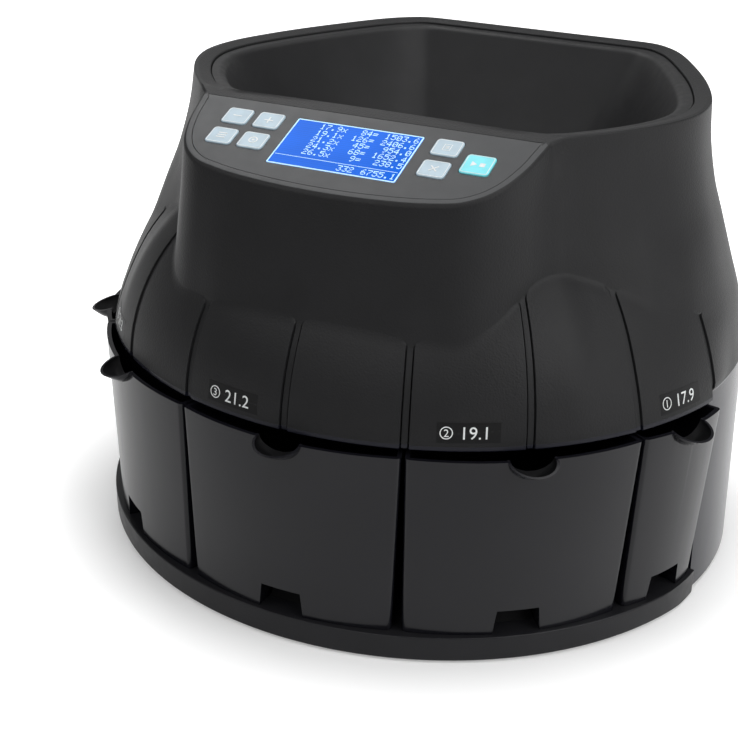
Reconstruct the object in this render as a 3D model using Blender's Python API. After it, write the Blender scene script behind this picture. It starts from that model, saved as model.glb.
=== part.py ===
"""Countertop coin sorting machine: round base, five slide-out coin cups, grooved dome and hopper casing.

Metres, +Z up, front at -Y. The origin is under the middle of the whole machine, on the surface it stands on.
The round parts turn about an upright axis that lies AXIS_SETBACK behind the origin, because the finger
scoops of the cups reach further forward than the base reaches back.
"""
import math

import bmesh
import bpy
from mathutils import Matrix, Vector

# Clearances between pieces
SEAT_GAP = 0.0003
RUNNING_GAP = 0.0005
CUT_OVERRUN = 0.006

# Round base
DECK_HEIGHT = 0.0158
BASE_TOP_RADIUS = 0.1942
BASE_TAPER = 0.0006
BASE_WALL = 0.003
BASE_LIFT = 0.0015
FOOT_RADIUS = 0.0095
FOOT_SET_IN = 0.0356
FOOT_PAD_HEIGHT = 0.004
FOOT_COUNT = 4

# Cup guide rails on the deck
RAIL_FOOT_WIDTH = 0.0250
RAIL_TOP_WIDTH = 0.0205
RAIL_HEIGHT = 0.0130
RAIL_END_SET_IN = 0.0105
RAIL_NOSE = 0.006
GUIDE_GAP = 0.0012

# Coin cups
PANEL_ANGLE = math.radians(19.0)
CUP_TOP_DROP = 0.0029
CUP_TOP_PROUD = 0.0027
CUP_FOOT_SET_IN = 0.0027
CUP_INNER_RADIUS = 0.0875
CUP_FLATTENING = 0.0020
CUP_WALL = 0.0022
CUP_TOP_SIDE_GAP = 0.0009
CUP_FOOT_SIDE_GAP = 0.0027
CUP_CORNER = 0.005
SCOOP_WIDTH = 0.0262
SCOOP_REACH = 0.0113
SCOOP_DEPTH = 0.0150
SCOOP_WALL = 0.0014
SCOOP_FALL = 0.0036
SCOOP_TAPER = 0.9

# Core wall behind the cups
CORE_RADIUS = 0.0815
CORE_WALL = 0.003
BAY_END_ANGLE = math.radians(77.3)
BAY_END_SET_IN = 0.0097

# Casing: dome, hopper walls and rear body in one shell
CASING_WALL = 0.003
CASING_SKIRT_SET_IN = 0.005
CASING_FOOT = 0.0022
SKIRT_CLEARANCE = 0.0009
DOME_EDGE = 0.1222
DOME_SET_IN = 0.0037
DOME_ARC = 0.103
DOME_ARC_DROP = 0.0022
DOME_SIDE_DRAW = 0.0055
DOME_DRAW_HEIGHT = 0.045
SIDE_SWELL = 0.002
CREASE_RISE = 0.0028
BAY_CUT_ANGLE = math.radians(76.6)
GROOVE_WIDTH = 0.0052
GROOVE_FLOOR_WIDTH = 0.0032
GROOVE_DEPTH = 0.0020
GROOVE_SIDE_COUNT = 4
RIM_HEIGHT = 0.266
RIM_HALF_WIDTH = 0.1502
RIM_BACK = 0.162
RIM_WIDTH = 0.0095
RIM_ROUND = 0.0012
RIM_FALL = 0.0015
CREST_HALF_WIDTH = 0.0988
LIP_SET_BACK = 0.0298
PANEL_RUN = 0.0619
HOPPER_RUN = 0.0298
PANEL_TILT = math.radians(21.85)
PANEL_CREST_DROP = 0.0024
CREST_ROUND = 0.0032
CREST_CORNER_REACH = 0.020
PANEL_WALL = 0.0050
LEDGE_DROP = 0.0055
LEDGE_WIDTH = 0.005
LEDGE_THICKNESS = 0.0025

# Lip of the control panel: half width as a share of the crest, reach as a share of crest to lip
LIP_SHARES = (
    (0.0, 1.0), (0.16, 0.995), (0.31, 0.98), (0.49, 0.95), (0.625, 0.91), (0.735, 0.86), (0.827, 0.76),
    (0.886, 0.645), (0.927, 0.52), (0.966, 0.33), (0.99, 0.12), (1.0, 0.0),
)
# Rim behind the crest: shares of the rim's half width, and of the crest's front or the rim's back
RIM_SHARES = (
    (0.734, -0.869), (0.850, -0.633), (0.948, -0.361), (0.999, -0.097), (0.997, 0.109), (0.954, 0.277),
    (0.877, 0.479), (0.770, 0.699), (0.683, 0.851), (0.612, 0.936), (0.529, 0.990), (0.40, 1.0),
    (0.20, 1.0), (0.0, 1.0),
)
# Flare of the body's side: share of the height above the crease, share of the way out to the skirt
FLARE_SHARES = (
    (0.0, 0.896), (0.19, 0.757), (0.355, 0.56), (0.518, 0.365), (0.674, 0.18), (0.87, 0.04), (1.0, 0.0),
)
# Draft of the wall under the panel lip: share of the bulge's angle, share of the run out
DRAFT_SHARES = ((0.0, 1.0), (0.37, 0.763), (0.56, 0.522), (0.85, 0.58), (1.0, 0.821))
BULGE_END_ANGLE = math.radians(46.0)
# Dome's sides drawn in and the walls above them swelling: share of the grooved angle, share of the full depth
DOME_DRAW_SHARES = ((0.0, 0.0), (0.58, 0.0), (0.68, 0.75), (0.75, 1.0), (1.0, 0.68))
SWELL_SHARES = ((0.0, 0.0), (0.78, 0.0), (0.9, 0.7), (1.0, 1.0), (1.08, 0.75), (1.25, 0.0))
# Where the casing has sections: shares of a dome panel for each panel from the middle, and of half a turn
PANEL_STEP_SHARES = ((0.3, 0.6), (0.28, 0.48, 0.66, 0.83), (0.2, 0.385, 0.6, 0.8), (0.33, 0.66))
REAR_STEP_SHARES = (0.444, 0.478, 0.522, 0.567, 0.611, 0.656, 0.70, 0.739, 0.772, 0.797, 0.817, 0.839, 0.867,
                    0.90, 0.933, 0.967)
SIDE_WALL_ANGLE = math.radians(66.0)
# Azimuths between which the rim climbs from the panel's crest to its full height
RIM_CLIMB_ANGLES = (math.radians(45.0), math.radians(58.0))

# Hopper bowl
BOWL_WALL = 0.0022
BOWL_FLANGE = 0.0025
BOWL_LIP_RADIUS = 0.0800
BOWL_INSET = 0.0075
COIN_GAP = 0.0033
BOWL_SHARES = ((0.0, 0.0), (0.33, 0.38), (0.66, 0.72), (1.0, 1.0))

# Sorting plate, feed disc and drive
PLATE_RISE = 0.0118
PLATE_THICKNESS = 0.004
PLATE_RADIUS = 0.126
RAIL_RING_WIDTH = 0.003
RAIL_RING_HEIGHT = 0.009
WINDOW_INNER_RADIUS = 0.0905
WINDOW_MARGIN = 0.0015
WINDOW_SHARE = 0.55
COIN_DIAMETERS = (0.01791, 0.01905, 0.02121, 0.02426, 0.02650)
DISC_RADIUS = 0.0840
DISC_THICKNESS = 0.0045
DISC_HUB_RADIUS = 0.020
DISC_HUB_HEIGHT = 0.010
VANE_COUNT = 6
VANE_WIDTH = 0.004
VANE_HEIGHT = 0.004
VANE_OUTER_RADIUS = 0.074
VANE_SWEEP = math.radians(24.0)
KNOB_RADIUS = 0.012
KNOB_HEIGHT = 0.010
KNOB_LOBES = 6
KNOB_LOBE_SHARE = 0.08
SHAFT_RADIUS = 0.005
SHAFT_TAIL = 0.008
BEARING_RADIUS = 0.009
BEARING_FLANGE = 0.0012
BEARING_CLEARANCE = 0.0001
GEAR_MODULE = 0.002
GEAR_TEETH = 36
PINION_TEETH = 12
GEAR_THICKNESS = 0.009
GEAR_ADDENDUM_SHARE = 0.85
GEAR_DEDENDUM_SHARE = 1.15
MESH_GAP = 0.0003
DRIVE_SPACE = 0.0240
MOTOR_PLATE_THICKNESS = 0.0025
MOTOR_RADIUS = 0.018
MOTOR_LENGTH = 0.048
MOTOR_BOSS_RADIUS = 0.006
MOTOR_BOSS_HEIGHT = 0.0045
MOTOR_SHAFT_RADIUS = 0.0025
POST_RADIUS = 0.004
POST_SPREAD = 0.070
POST_COUNT = 4
SENSOR_SIZE = (0.010, 0.006, 0.010)

# Control panel: u runs right and v down the slope from the crest
PLATE_INSET = 0.0042
PANEL_PLATE = 0.0024
PANEL_LEDGE = 0.0045
PANEL_TOP_MARGIN = 0.0012
WINDOW_KEY_GAP = 0.0148
WINDOW_HEIGHT = 0.0386
WINDOW_V = 0.0300
WINDOW_THICKNESS = 0.0020
MODULE_MARGIN = 0.0054
MODULE_HEIGHT = 0.0425
MODULE_DEPTH = 0.0085
KEY_SIZE = (0.0149, 0.0133)
START_KEY_SIZE = (0.0154, 0.0154)
KEY_CORNER = 0.0022
KEY_PROUD = 0.0007
KEY_TRAVEL = 0.0008
KEY_FLANGE = 0.0007
KEY_FLANGE_THICKNESS = 0.0010
KEY_SET_IN = 0.0298
KEY_STEP = 0.0186
KEY_UPPER_V = 0.0172
KEY_LOWER_V = 0.0350
START_KEY_SET_IN = 0.0285
START_KEY_V = 0.0268
SWITCH_RADIUS = 0.002
SWITCH_HEIGHT = 0.0018
BOARD_THICKNESS = 0.0016
BOARD_PIN_RADIUS = 0.0008

# Rear connections
REAR_HALF_WIDTH = 0.054
REAR_LOW = 0.030
REAR_HIGH = 0.066
REAR_FACE_DEPTH = 0.0172
REAR_WALL = 0.0022
REAR_BACK_WALL = 0.003
INLET_X = -0.030
INLET_SIZE = (0.028, 0.020)
INLET_DEPTH = 0.015
INLET_FLANGE = 0.002
INLET_SOCKET = (0.023, 0.015)
PIN_LENGTH = 0.0075
ROCKER_X = 0.003
ROCKER_SIZE = (0.0110, 0.0180)
ROCKER_ANGLE = math.radians(8.0)
HOUSING_WALL = 0.0018
PORT_X = 0.032
PORT_SIZE = (0.0160, 0.0145)
PORT_SOCKET = (0.0120, 0.0085)
PORT_DEPTH = 0.016

# Electronics on the deck
STANDOFF_RADIUS = 0.003
STANDOFF_HEIGHT = 0.006
SUPPLY_HEIGHT = 0.034
# Plan sizes and places behind the axis, as shares of the casing's skirt radius
MAIN_BOARD_SIZE_SHARES = (0.5814, 0.3171)
MAIN_BOARD_PLACE_SHARE = 0.6871
SUPPLY_SIZE_SHARES = (0.2960, 0.3700)
SUPPLY_PLACE_SHARES = (0.5708, 0.4123)
# Parts on the main board: place, width and depth as shares of the board, height as a share of its depth
COMPONENT_SHARES = (
    (-0.30, 0.10, 0.20, 0.34, 0.15), (0.02, -0.10, 0.14, 0.26, 0.05), (0.30, 0.18, 0.16, 0.22, 0.10),
    (0.30, -0.24, 0.24, 0.14, 0.117),
)

BASE_FOOT_RADIUS = BASE_TOP_RADIUS - BASE_TAPER
FOOT_SPREAD = BASE_FOOT_RADIUS - FOOT_SET_IN
CUP_TOP = DOME_EDGE - CUP_TOP_DROP
DOME_ARC_HEIGHT = DOME_EDGE - DOME_ARC_DROP
BODY_CREASE = DOME_EDGE + CREASE_RISE
PLATE_HEIGHT = DOME_EDGE + PLATE_RISE
MOTOR_PLATE_HEIGHT = PLATE_HEIGHT - DRIVE_SPACE
CUP_TOP_RADIUS = BASE_TOP_RADIUS + CUP_TOP_PROUD
CUP_FOOT_RADIUS = BASE_TOP_RADIUS - CUP_FOOT_SET_IN
RAIL_END_RADIUS = CUP_FOOT_RADIUS - RAIL_END_SET_IN
CASING_SKIRT_RADIUS = BASE_TOP_RADIUS - CASING_SKIRT_SET_IN
DECK_EDGE_RADIUS = CASING_SKIRT_RADIUS - CASING_WALL - SKIRT_CLEARANCE
DOME_EDGE_RADIUS = BASE_TOP_RADIUS - DOME_SET_IN
BAY_END_REACH = DOME_EDGE_RADIUS - BAY_END_SET_IN
LIP_FRONT = DOME_EDGE_RADIUS - LIP_SET_BACK
CREST_FRONT = LIP_FRONT - PANEL_RUN
KEY_OUTER_U = CREST_HALF_WIDTH - KEY_SET_IN
KEY_INNER_U = KEY_OUTER_U - KEY_STEP
START_KEY_U = CREST_HALF_WIDTH - START_KEY_SET_IN
WINDOW_WIDTH = 2 * (KEY_INNER_U - WINDOW_KEY_GAP)
MODULE_WIDTH = WINDOW_WIDTH + 2 * MODULE_MARGIN
LEDGE_HEIGHT = RIM_HEIGHT - LEDGE_DROP
REAR_FACE = CASING_SKIRT_RADIUS - REAR_FACE_DEPTH
MAIN_BOARD_SIZE = tuple(share * CASING_SKIRT_RADIUS for share in MAIN_BOARD_SIZE_SHARES)
MAIN_BOARD_Y = CASING_SKIRT_RADIUS * MAIN_BOARD_PLACE_SHARE
SUPPLY_SIZE = (*(share * CASING_SKIRT_RADIUS for share in SUPPLY_SIZE_SHARES), SUPPLY_HEIGHT)
SUPPLY_PLACE = tuple(share * CASING_SKIRT_RADIUS for share in SUPPLY_PLACE_SHARES)
AXIS_SETBACK = (CUP_TOP_RADIUS + SCOOP_REACH - CASING_SKIRT_RADIUS) / 2
CUP_FOOT = DECK_HEIGHT + SEAT_GAP
CUP_AZIMUTHS = tuple(share * PANEL_ANGLE for share in (3.5, 2.0, 0.0, -2.0, -3.5))
CUP_HALF_ANGLES = tuple(share * PANEL_ANGLE for share in (0.5, 1.0, 1.0, 1.0, 0.5))
PLATE_TOP = PLATE_HEIGHT + PLATE_THICKNESS
DISC_FOOT = PLATE_TOP + RUNNING_GAP
DISC_TOP = DISC_FOOT + DISC_THICKNESS
BOWL_FOOT = DISC_TOP + COIN_GAP
GEAR_FOOT = MOTOR_PLATE_HEIGHT + MOTOR_PLATE_THICKNESS + MOTOR_BOSS_HEIGHT
GEAR_RADIUS = GEAR_MODULE * GEAR_TEETH / 2
PINION_RADIUS = GEAR_MODULE * PINION_TEETH / 2
PINION_OFFSET = GEAR_RADIUS + PINION_RADIUS + MESH_GAP


def clear_scene():
    for thing in list(bpy.data.objects):
        bpy.data.objects.remove(thing, do_unlink=True)


def material(name, colour, roughness, metallic=0.0):
    finish = bpy.data.materials.new(name)
    finish.use_nodes = True
    shader = finish.node_tree.nodes["Principled BSDF"]
    shader.inputs["Base Color"].default_value = (*colour, 1.0)
    shader.inputs["Roughness"].default_value = roughness
    shader.inputs["Metallic"].default_value = metallic
    return finish


def empty(name, place=(0.0, 0.0, 0.0), parent=None, turn=(0.0, 0.0, 0.0)):
    holder = bpy.data.objects.new(name, None)
    holder.location = place
    holder.rotation_euler = turn
    holder.parent = parent
    bpy.context.scene.collection.objects.link(holder)
    return holder


def piece(name, mesh, finish, parent, place=(0.0, 0.0, 0.0), turn=(0.0, 0.0, 0.0), smooth=False):
    mesh.update()
    if smooth:
        mesh.shade_smooth()
        mesh.set_sharp_from_angle(angle=math.radians(30.0))
    thing = bpy.data.objects.new(name, mesh)
    thing.location = place
    thing.rotation_euler = turn
    thing.parent = parent
    thing.data.materials.clear()
    thing.data.materials.append(finish)
    bpy.context.scene.collection.objects.link(thing)
    return thing


def helper(name, mesh, parent, place=(0.0, 0.0, 0.0), turn=(0.0, 0.0, 0.0)):
    """An object that only cuts or joins another one, and isn't a piece of the machine."""
    thing = bpy.data.objects.new(name, mesh)
    thing.location = place
    thing.rotation_euler = turn
    thing.parent = parent
    thing.hide_render = True
    thing.display_type = "WIRE"
    bpy.context.scene.collection.objects.link(thing)
    return thing


def combine(target, other, operation):
    change = target.modifiers.new(other.name, "BOOLEAN")
    change.operation = operation
    change.object = other
    change.solver = "EXACT"


def cut(target, *cutters):
    for cutter in cutters:
        combine(target, cutter, "DIFFERENCE")


def join(target, *others):
    for other in others:
        combine(target, other, "UNION")


def mesh_from(name, build):
    """Makes a mesh from a function that fills a bmesh, with all faces turned outwards."""
    shape = bmesh.new()
    build(shape)
    bmesh.ops.recalc_face_normals(shape, faces=shape.faces)
    mesh = bpy.data.meshes.new(name)
    shape.to_mesh(mesh)
    shape.free()
    return mesh


def loft(name, loops):
    """A closed solid through loops of points, with a flat cap on the first and the last."""
    def build(shape):
        rows = [[shape.verts.new(point) for point in loop] for loop in loops]
        for low, high in zip(rows, rows[1:]):
            for i in range(len(low)):
                j = (i + 1) % len(low)
                shape.faces.new((low[i], low[j], high[j], high[i]))
        shape.faces.new(rows[0])
        shape.faces.new(rows[-1])
    return mesh_from(name, build)


def loft_ring(name, profiles):
    """A closed ring-shaped solid through closed profiles set one after another around an axis."""
    def build(shape):
        rows = [[shape.verts.new(point) for point in profile] for profile in profiles]
        for here, there in zip(rows, rows[1:] + rows[:1]):
            for i in range(len(here)):
                j = (i + 1) % len(here)
                shape.faces.new((here[i], here[j], there[j], there[i]))
    return mesh_from(name, build)


def turned(name, outline, steps, top=None, foot=None):
    """A solid turned about Z. A profile that starts and ends off the axis closes as a ring."""
    angles = [2 * math.pi * i / steps for i in range(steps)]
    if outline[0][0] > 0.0:
        return loft_ring(name, [[polar(r, angle, z) for r, z in outline] for angle in angles])

    def build(shape):
        rows = [[shape.verts.new(polar(r, angle, z)) for angle in angles] for r, z in outline[1:-1]]
        low = shape.verts.new((0.0, 0.0, outline[0][1]))
        high = shape.verts.new((0.0, 0.0, outline[-1][1]))
        for i in range(steps):
            j = (i + 1) % steps
            shape.faces.new((low, rows[0][j], rows[0][i]))
            shape.faces.new((high, rows[-1][i], rows[-1][j]))
            for here, there in zip(rows, rows[1:]):
                shape.faces.new((here[i], here[j], there[j], there[i]))
    return mesh_from(name, build)


def polar(radius, azimuth, z):
    """A point at an azimuth measured from the front, positive towards +X."""
    return Vector((radius * math.sin(azimuth), -radius * math.cos(azimuth), z))


def at_height(outline, z):
    return [Vector((x, y, z)) for x, y in outline]


def circle(radius, steps, centre=(0.0, 0.0)):
    turns = [2 * math.pi * i / steps for i in range(steps)]
    return [(centre[0] + radius * math.cos(t), centre[1] + radius * math.sin(t)) for t in turns]


def rectangle(width, height, centre=(0.0, 0.0)):
    x, y = width / 2, height / 2
    return [(centre[0] + a * x, centre[1] + b * y) for a, b in ((-1, -1), (1, -1), (1, 1), (-1, 1))]


def fillet(outline, radius, steps=3, corners=None):
    """Rounds the corners of an outline, all of them or those listed."""
    rounded = []
    count = len(outline)
    for i, corner in enumerate(outline):
        here = Vector(corner)
        if corners is not None and i not in corners:
            rounded.append(tuple(here))
            continue
        back = (Vector(outline[i - 1]) - here).normalized()
        ahead = (Vector(outline[(i + 1) % count]) - here).normalized()
        half = back.angle(ahead) / 2
        reach = radius / math.tan(half)
        centre = here + (back + ahead).normalized() * radius / math.sin(half)
        start = here + back * reach - centre
        end = here + ahead * reach - centre
        for step in range(steps + 1):
            share = step / steps
            arm = start * (1 - share) + end * share
            rounded.append(tuple(centre + arm.normalized() * radius))
    return rounded


def prism(name, outline, low, high):
    return loft(name, [at_height(outline, low), at_height(outline, high)])


def block(name, size, centre):
    x, y, z = centre
    return prism(name, rectangle(size[0], size[1], (x, y)), z - size[2] / 2, z + size[2] / 2)


def between(table, place):
    """Reads a table of pairs at a place between its points, on straight lines."""
    for (x0, y0), (x1, y1) in zip(table, table[1:]):
        if place <= x1:
            return y0 + (y1 - y0) * max(place - x0, 0.0) / (x1 - x0)
    return table[-1][1]


def smooth_curve(points, steps=6, mirrored=False):
    """Points on a Catmull-Rom curve through the given points, level at a start that is mirrored in x."""
    curve = []
    before = (-points[1][0], points[1][1]) if mirrored else points[0]
    for i in range(len(points) - 1):
        a = Vector(points[i - 1] if i else before)
        b = Vector(points[i])
        c = Vector(points[i + 1])
        d = Vector(points[min(i + 2, len(points) - 1)])
        for step in range(steps):
            t = step / steps
            curve.append(tuple(0.5 * (2 * b + (c - a) * t + (2 * a - 5 * b + 4 * c - d) * t**2
                                      + (3 * b - a - 3 * c + d) * t**3)))
    return curve + [tuple(points[-1])]


def radius_towards(curve, azimuth):
    """Distance from the axis to a half outline, on the side that faces the azimuth."""
    aim = Vector((math.sin(azimuth), -math.cos(azimuth)))
    side = Vector((aim.y, -aim.x))
    for a, b in zip(curve, curve[1:]):
        a, b = Vector(a), Vector(b)
        over, under = a.dot(side), b.dot(side)
        if over * under <= 0.0 and over != under:
            hit = a + (b - a) * over / (over - under)
            if hit.dot(aim) > 0.0:
                return hit.dot(aim)
    return Vector(curve[-1]).length if azimuth > math.pi / 2 else Vector(curve[0]).length


def rim_points():
    """Plan of the rim behind the crest, right half. In front of the axis it goes with the crest."""
    return [(RIM_HALF_WIDTH * x, (RIM_BACK if y > 0.0 else CREST_FRONT) * y) for x, y in RIM_SHARES]


def lip_curve():
    """Plan of the panel's lip and the rim behind it, right half, front to back."""
    run = LIP_FRONT - CREST_FRONT
    front = [(CREST_HALF_WIDTH * x, -CREST_FRONT - run * y) for x, y in LIP_SHARES]
    return smooth_curve(front, mirrored=True) + smooth_curve([front[-1]] + rim_points())[1:]


def crest_curve(steps=8):
    """Plan of the upper edge, right half: the straight crest, its rounded corner and the rim behind it."""
    corner = Vector((CREST_HALF_WIDTH, -CREST_FRONT))
    side = smooth_curve([tuple(corner)] + rim_points())
    beyond = [place for place in side if (Vector(place) - corner).length > CREST_CORNER_REACH]
    start, end = Vector((CREST_HALF_WIDTH - CREST_CORNER_REACH, -CREST_FRONT)), Vector(beyond[0])
    bend = []
    for i in range(steps):
        share = i / steps
        place = start * (1.0 - share)**2 + corner * 2.0 * share * (1.0 - share) + end * share**2
        bend.append(tuple(place))
    return [(0.0, -CREST_FRONT)] + bend + beyond


def inset_curve(curve, distance):
    """The half outline moved inwards by a distance."""
    moved = []
    for i, point in enumerate(curve):
        along = Vector(curve[min(i + 1, len(curve) - 1)]) - Vector(curve[max(i - 1, 0)])
        inward = Vector((-along.y, along.x)).normalized()
        spot = Vector(point) + inward * distance
        moved.append((max(spot.x, 0.0), spot.y))
    moved[0] = (0.0, curve[0][1] + distance)
    moved[-1] = (0.0, curve[-1][1] - distance)
    return moved


LIP = lip_curve()
CREST = crest_curve()
OPENING = inset_curve(CREST, RIM_WIDTH)


def panel_height(y):
    """Height of the sloping panel's surface at a place y in front of the axis."""
    return RIM_HEIGHT - PANEL_CREST_DROP + (y + CREST_FRONT) * math.tan(PANEL_TILT)


def dome_radius(azimuth, z):
    """Arc of the dome. Its sides are drawn in a little above the lower edge."""
    rise = max(z - DOME_ARC_HEIGHT, 0.0)
    arc = DOME_EDGE_RADIUS - DOME_ARC + math.sqrt(max(DOME_ARC**2 - rise**2, 0.0))
    side = between(DOME_DRAW_SHARES, abs(azimuth) / (GROOVE_SIDE_COUNT * PANEL_ANGLE))
    up = min(max(z - DOME_EDGE, 0.0) / DOME_DRAW_HEIGHT, 1.0)
    return arc - DOME_SIDE_DRAW * side * math.sin(math.pi / 2 * up)


def rim_drop(azimuth):
    """How far the rim's outer edge lies under its full height beside the panel's crest."""
    start, end = RIM_CLIMB_ANGLES
    climb = min(max((abs(azimuth) - start) / (end - start), 0.0), 1.0)
    return (PANEL_CREST_DROP - RIM_ROUND) * (1.0 - climb)


def lip_height(azimuth):
    """Height at which the outer wall ends under the lip or the rim."""
    y = -radius_towards(LIP, azimuth) * math.cos(azimuth)
    rim = RIM_HEIGHT - RIM_ROUND - rim_drop(azimuth)
    return min(panel_height(y), rim) if abs(azimuth) < math.pi / 2 else rim


def flare(z):
    """Share of the way from the rim out to the skirt at a height on the body's side."""
    if z <= BODY_CREASE:
        crease = FLARE_SHARES[0][1]
        return crease + (1.0 - crease) * (BODY_CREASE - z) / (BODY_CREASE - CASING_FOOT)
    return between(FLARE_SHARES, (z - BODY_CREASE) / (RIM_HEIGHT - BODY_CREASE))


def side_radius(azimuth, z):
    top = radius_towards(LIP, azimuth)
    up = min(max(z - BODY_CREASE, 0.0) / (RIM_HEIGHT - BODY_CREASE), 1.0)
    swell = between(SWELL_SHARES, azimuth / (GROOVE_SIDE_COUNT * PANEL_ANGLE)) * math.sin(math.pi * up)
    return top + (CASING_SKIRT_RADIUS - top) * flare(z) + SIDE_SWELL * swell


def hopper_radius(azimuth, z):
    """Outer wall of the hopper: the drafted wall under the panel, blended into the flared side."""
    away = abs(azimuth)
    side = side_radius(away, z)
    if away >= SIDE_WALL_ANGLE:
        return side
    draft = between(DRAFT_SHARES, away / BULGE_END_ANGLE)
    down = (lip_height(away) - z) / (RIM_HEIGHT - DOME_EDGE)
    front = radius_towards(LIP, away) + HOPPER_RUN * draft * down
    mix = min(max((away - BULGE_END_ANGLE) / (SIDE_WALL_ANGLE - BULGE_END_ANGLE), 0.0), 1.0)
    return front * (1.0 - mix) + side * mix


def crease_height(azimuth):
    """Height where the hopper wall runs into the dome, found by halving."""
    low, high = DOME_EDGE, RIM_HEIGHT
    for _ in range(40):
        middle = (low + high) / 2
        if dome_radius(azimuth, middle) > hopper_radius(azimuth, middle):
            low = middle
        else:
            high = middle
    return low


def casing_radius(azimuth, z):
    away = abs(azimuth)
    wall = hopper_radius(away, z)
    if away > GROOVE_SIDE_COUNT * PANEL_ANGLE:
        return wall
    return max(wall, dome_radius(away, z)) if z >= DOME_EDGE - BASE_WALL else DOME_EDGE_RADIUS


def casing_profile(azimuth, dip):
    """Closed section of the casing at one azimuth, from its foot up the outside and down the inside."""
    away = abs(azimuth)
    foot = CASING_FOOT
    above_cut = DOME_EDGE + CASING_WALL / 2
    crease = crease_height(min(away, GROOVE_SIDE_COUNT * PANEL_ANGLE))
    lip = lip_height(away)
    levels = [foot, DOME_EDGE - CASING_WALL]
    levels += [above_cut + (crease - above_cut) * i / 4 for i in range(5)]
    levels += [crease + GROOVE_DEPTH / 2]
    levels += [crease + (lip - crease) * i / 3 for i in (1, 2, 3)]
    outside = [(casing_radius(away, z) - (dip if z <= crease else 0.0), z) for z in levels]

    edge = radius_towards(CREST, away)
    mouth = radius_towards(OPENING, away)
    over_panel = away < math.atan2(CREST_HALF_WIDTH, CREST_FRONT)
    drop = rim_drop(away)
    shoulder = RIM_HEIGHT - drop - RIM_ROUND / 3
    if away < math.pi / 2:
        shoulder = min(panel_height(-edge * math.cos(away)), shoulder)
    shoulder_radius = edge if over_panel else edge - RIM_ROUND / 4
    flat_radius = edge - CREST_ROUND if over_panel else edge - RIM_ROUND - drop
    ledge_foot = LEDGE_HEIGHT - LEDGE_THICKNESS
    under_panel = PANEL_WALL / math.cos(PANEL_TILT)
    if over_panel:
        inner_lip_radius = radius_towards(LIP, away) - CASING_WALL
        inner_lip = panel_height(-inner_lip_radius * math.cos(away)) - under_panel
        inner_crest = (edge, shoulder - under_panel)
    else:
        inner_lip = ledge_foot - LEDGE_THICKNESS
        inner_lip_radius = casing_radius(away, inner_lip) - CASING_WALL
        inner_crest = ((mouth + inner_lip_radius) / 2, ledge_foot)
    top = [
        (shoulder_radius, shoulder),
        (flat_radius, RIM_HEIGHT),
        (mouth, RIM_HEIGHT - RIM_FALL),
        (mouth, LEDGE_HEIGHT),
        (mouth - LEDGE_WIDTH, LEDGE_HEIGHT),
        (mouth - LEDGE_WIDTH, ledge_foot),
        (mouth, ledge_foot),
        inner_crest,
        (inner_lip_radius, inner_lip),
    ]
    inner_levels = [(inner_lip + crease) / 2, crease, (crease + above_cut) / 2, above_cut, foot]
    inside = [(casing_radius(away, z) - CASING_WALL, z) for z in inner_levels]
    return [polar(r, azimuth, z) for r, z in outside + top + inside]


def plain_azimuths():
    """Azimuths between the grooves and round the back where the casing and the bowl have a section."""
    azimuths = [math.pi]
    for k, shares in enumerate(PANEL_STEP_SHARES):
        for share in shares:
            azimuths += [side * (k + share) * PANEL_ANGLE for side in (-1, 1)]
    for share in REAR_STEP_SHARES:
        azimuths += [side * math.pi * share for side in (-1, 1)]
    return azimuths


def casing_azimuths():
    """Azimuths of the casing's sections, each with the depth of the groove there."""
    half_mouth = GROOVE_WIDTH / 2 / DOME_EDGE_RADIUS
    half_floor = GROOVE_FLOOR_WIDTH / 2 / DOME_EDGE_RADIUS
    sections = [(azimuth, 0.0) for azimuth in plain_azimuths()]
    for k in range(-GROOVE_SIDE_COUNT, GROOVE_SIDE_COUNT + 1):
        centre = k * PANEL_ANGLE
        sections += [(centre - half_mouth, 0.0), (centre - half_floor, GROOVE_DEPTH)]
        sections += [(centre + half_floor, GROOVE_DEPTH), (centre + half_mouth, 0.0)]
    return sorted(sections)


def sector(name, angle, radius, low, high, steps=16):
    """A cake-slice prism that opens to the front."""
    rim = [(radius * math.sin(a), -radius * math.cos(a))
           for a in [angle * (2 * i / steps - 1) for i in range(steps + 1)]]
    return prism(name, [(0.0, 0.0)] + rim, low, high)


def panel_outline(inset):
    """Outline in panel coordinates (u, v) that follows the lip at a distance, closed along the crest."""
    slope = math.cos(PANEL_TILT)
    run = LIP_FRONT - CREST_FRONT
    lip = smooth_curve([(CREST_HALF_WIDTH * x, -CREST_FRONT - run * y) for x, y in LIP_SHARES], 2, True)
    front = inset_curve(lip, inset)
    right = [(x, (-CREST_FRONT - y) / slope) for x, y in front[:-1]]
    top = PANEL_TOP_MARGIN + max(inset - PLATE_INSET, 0.0)
    right = [(u, v) for u, v in right if v > top + CUP_WALL] + [(front[-2][0] + inset / 4, top)]
    left = [(-u, v) for u, v in reversed(right) if u > 0.0]
    return right + left


def make_panel_frame(axis):
    """Empty on the panel's surface at the middle of the crest: local x is u, local -y is v, local z is up."""
    place = (0.0, -CREST_FRONT, RIM_HEIGHT - PANEL_CREST_DROP)
    return empty("panel_frame", place, axis, (PANEL_TILT, 0.0, 0.0))


def on_panel(outline):
    return [(u, -v) for u, v in outline]


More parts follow.
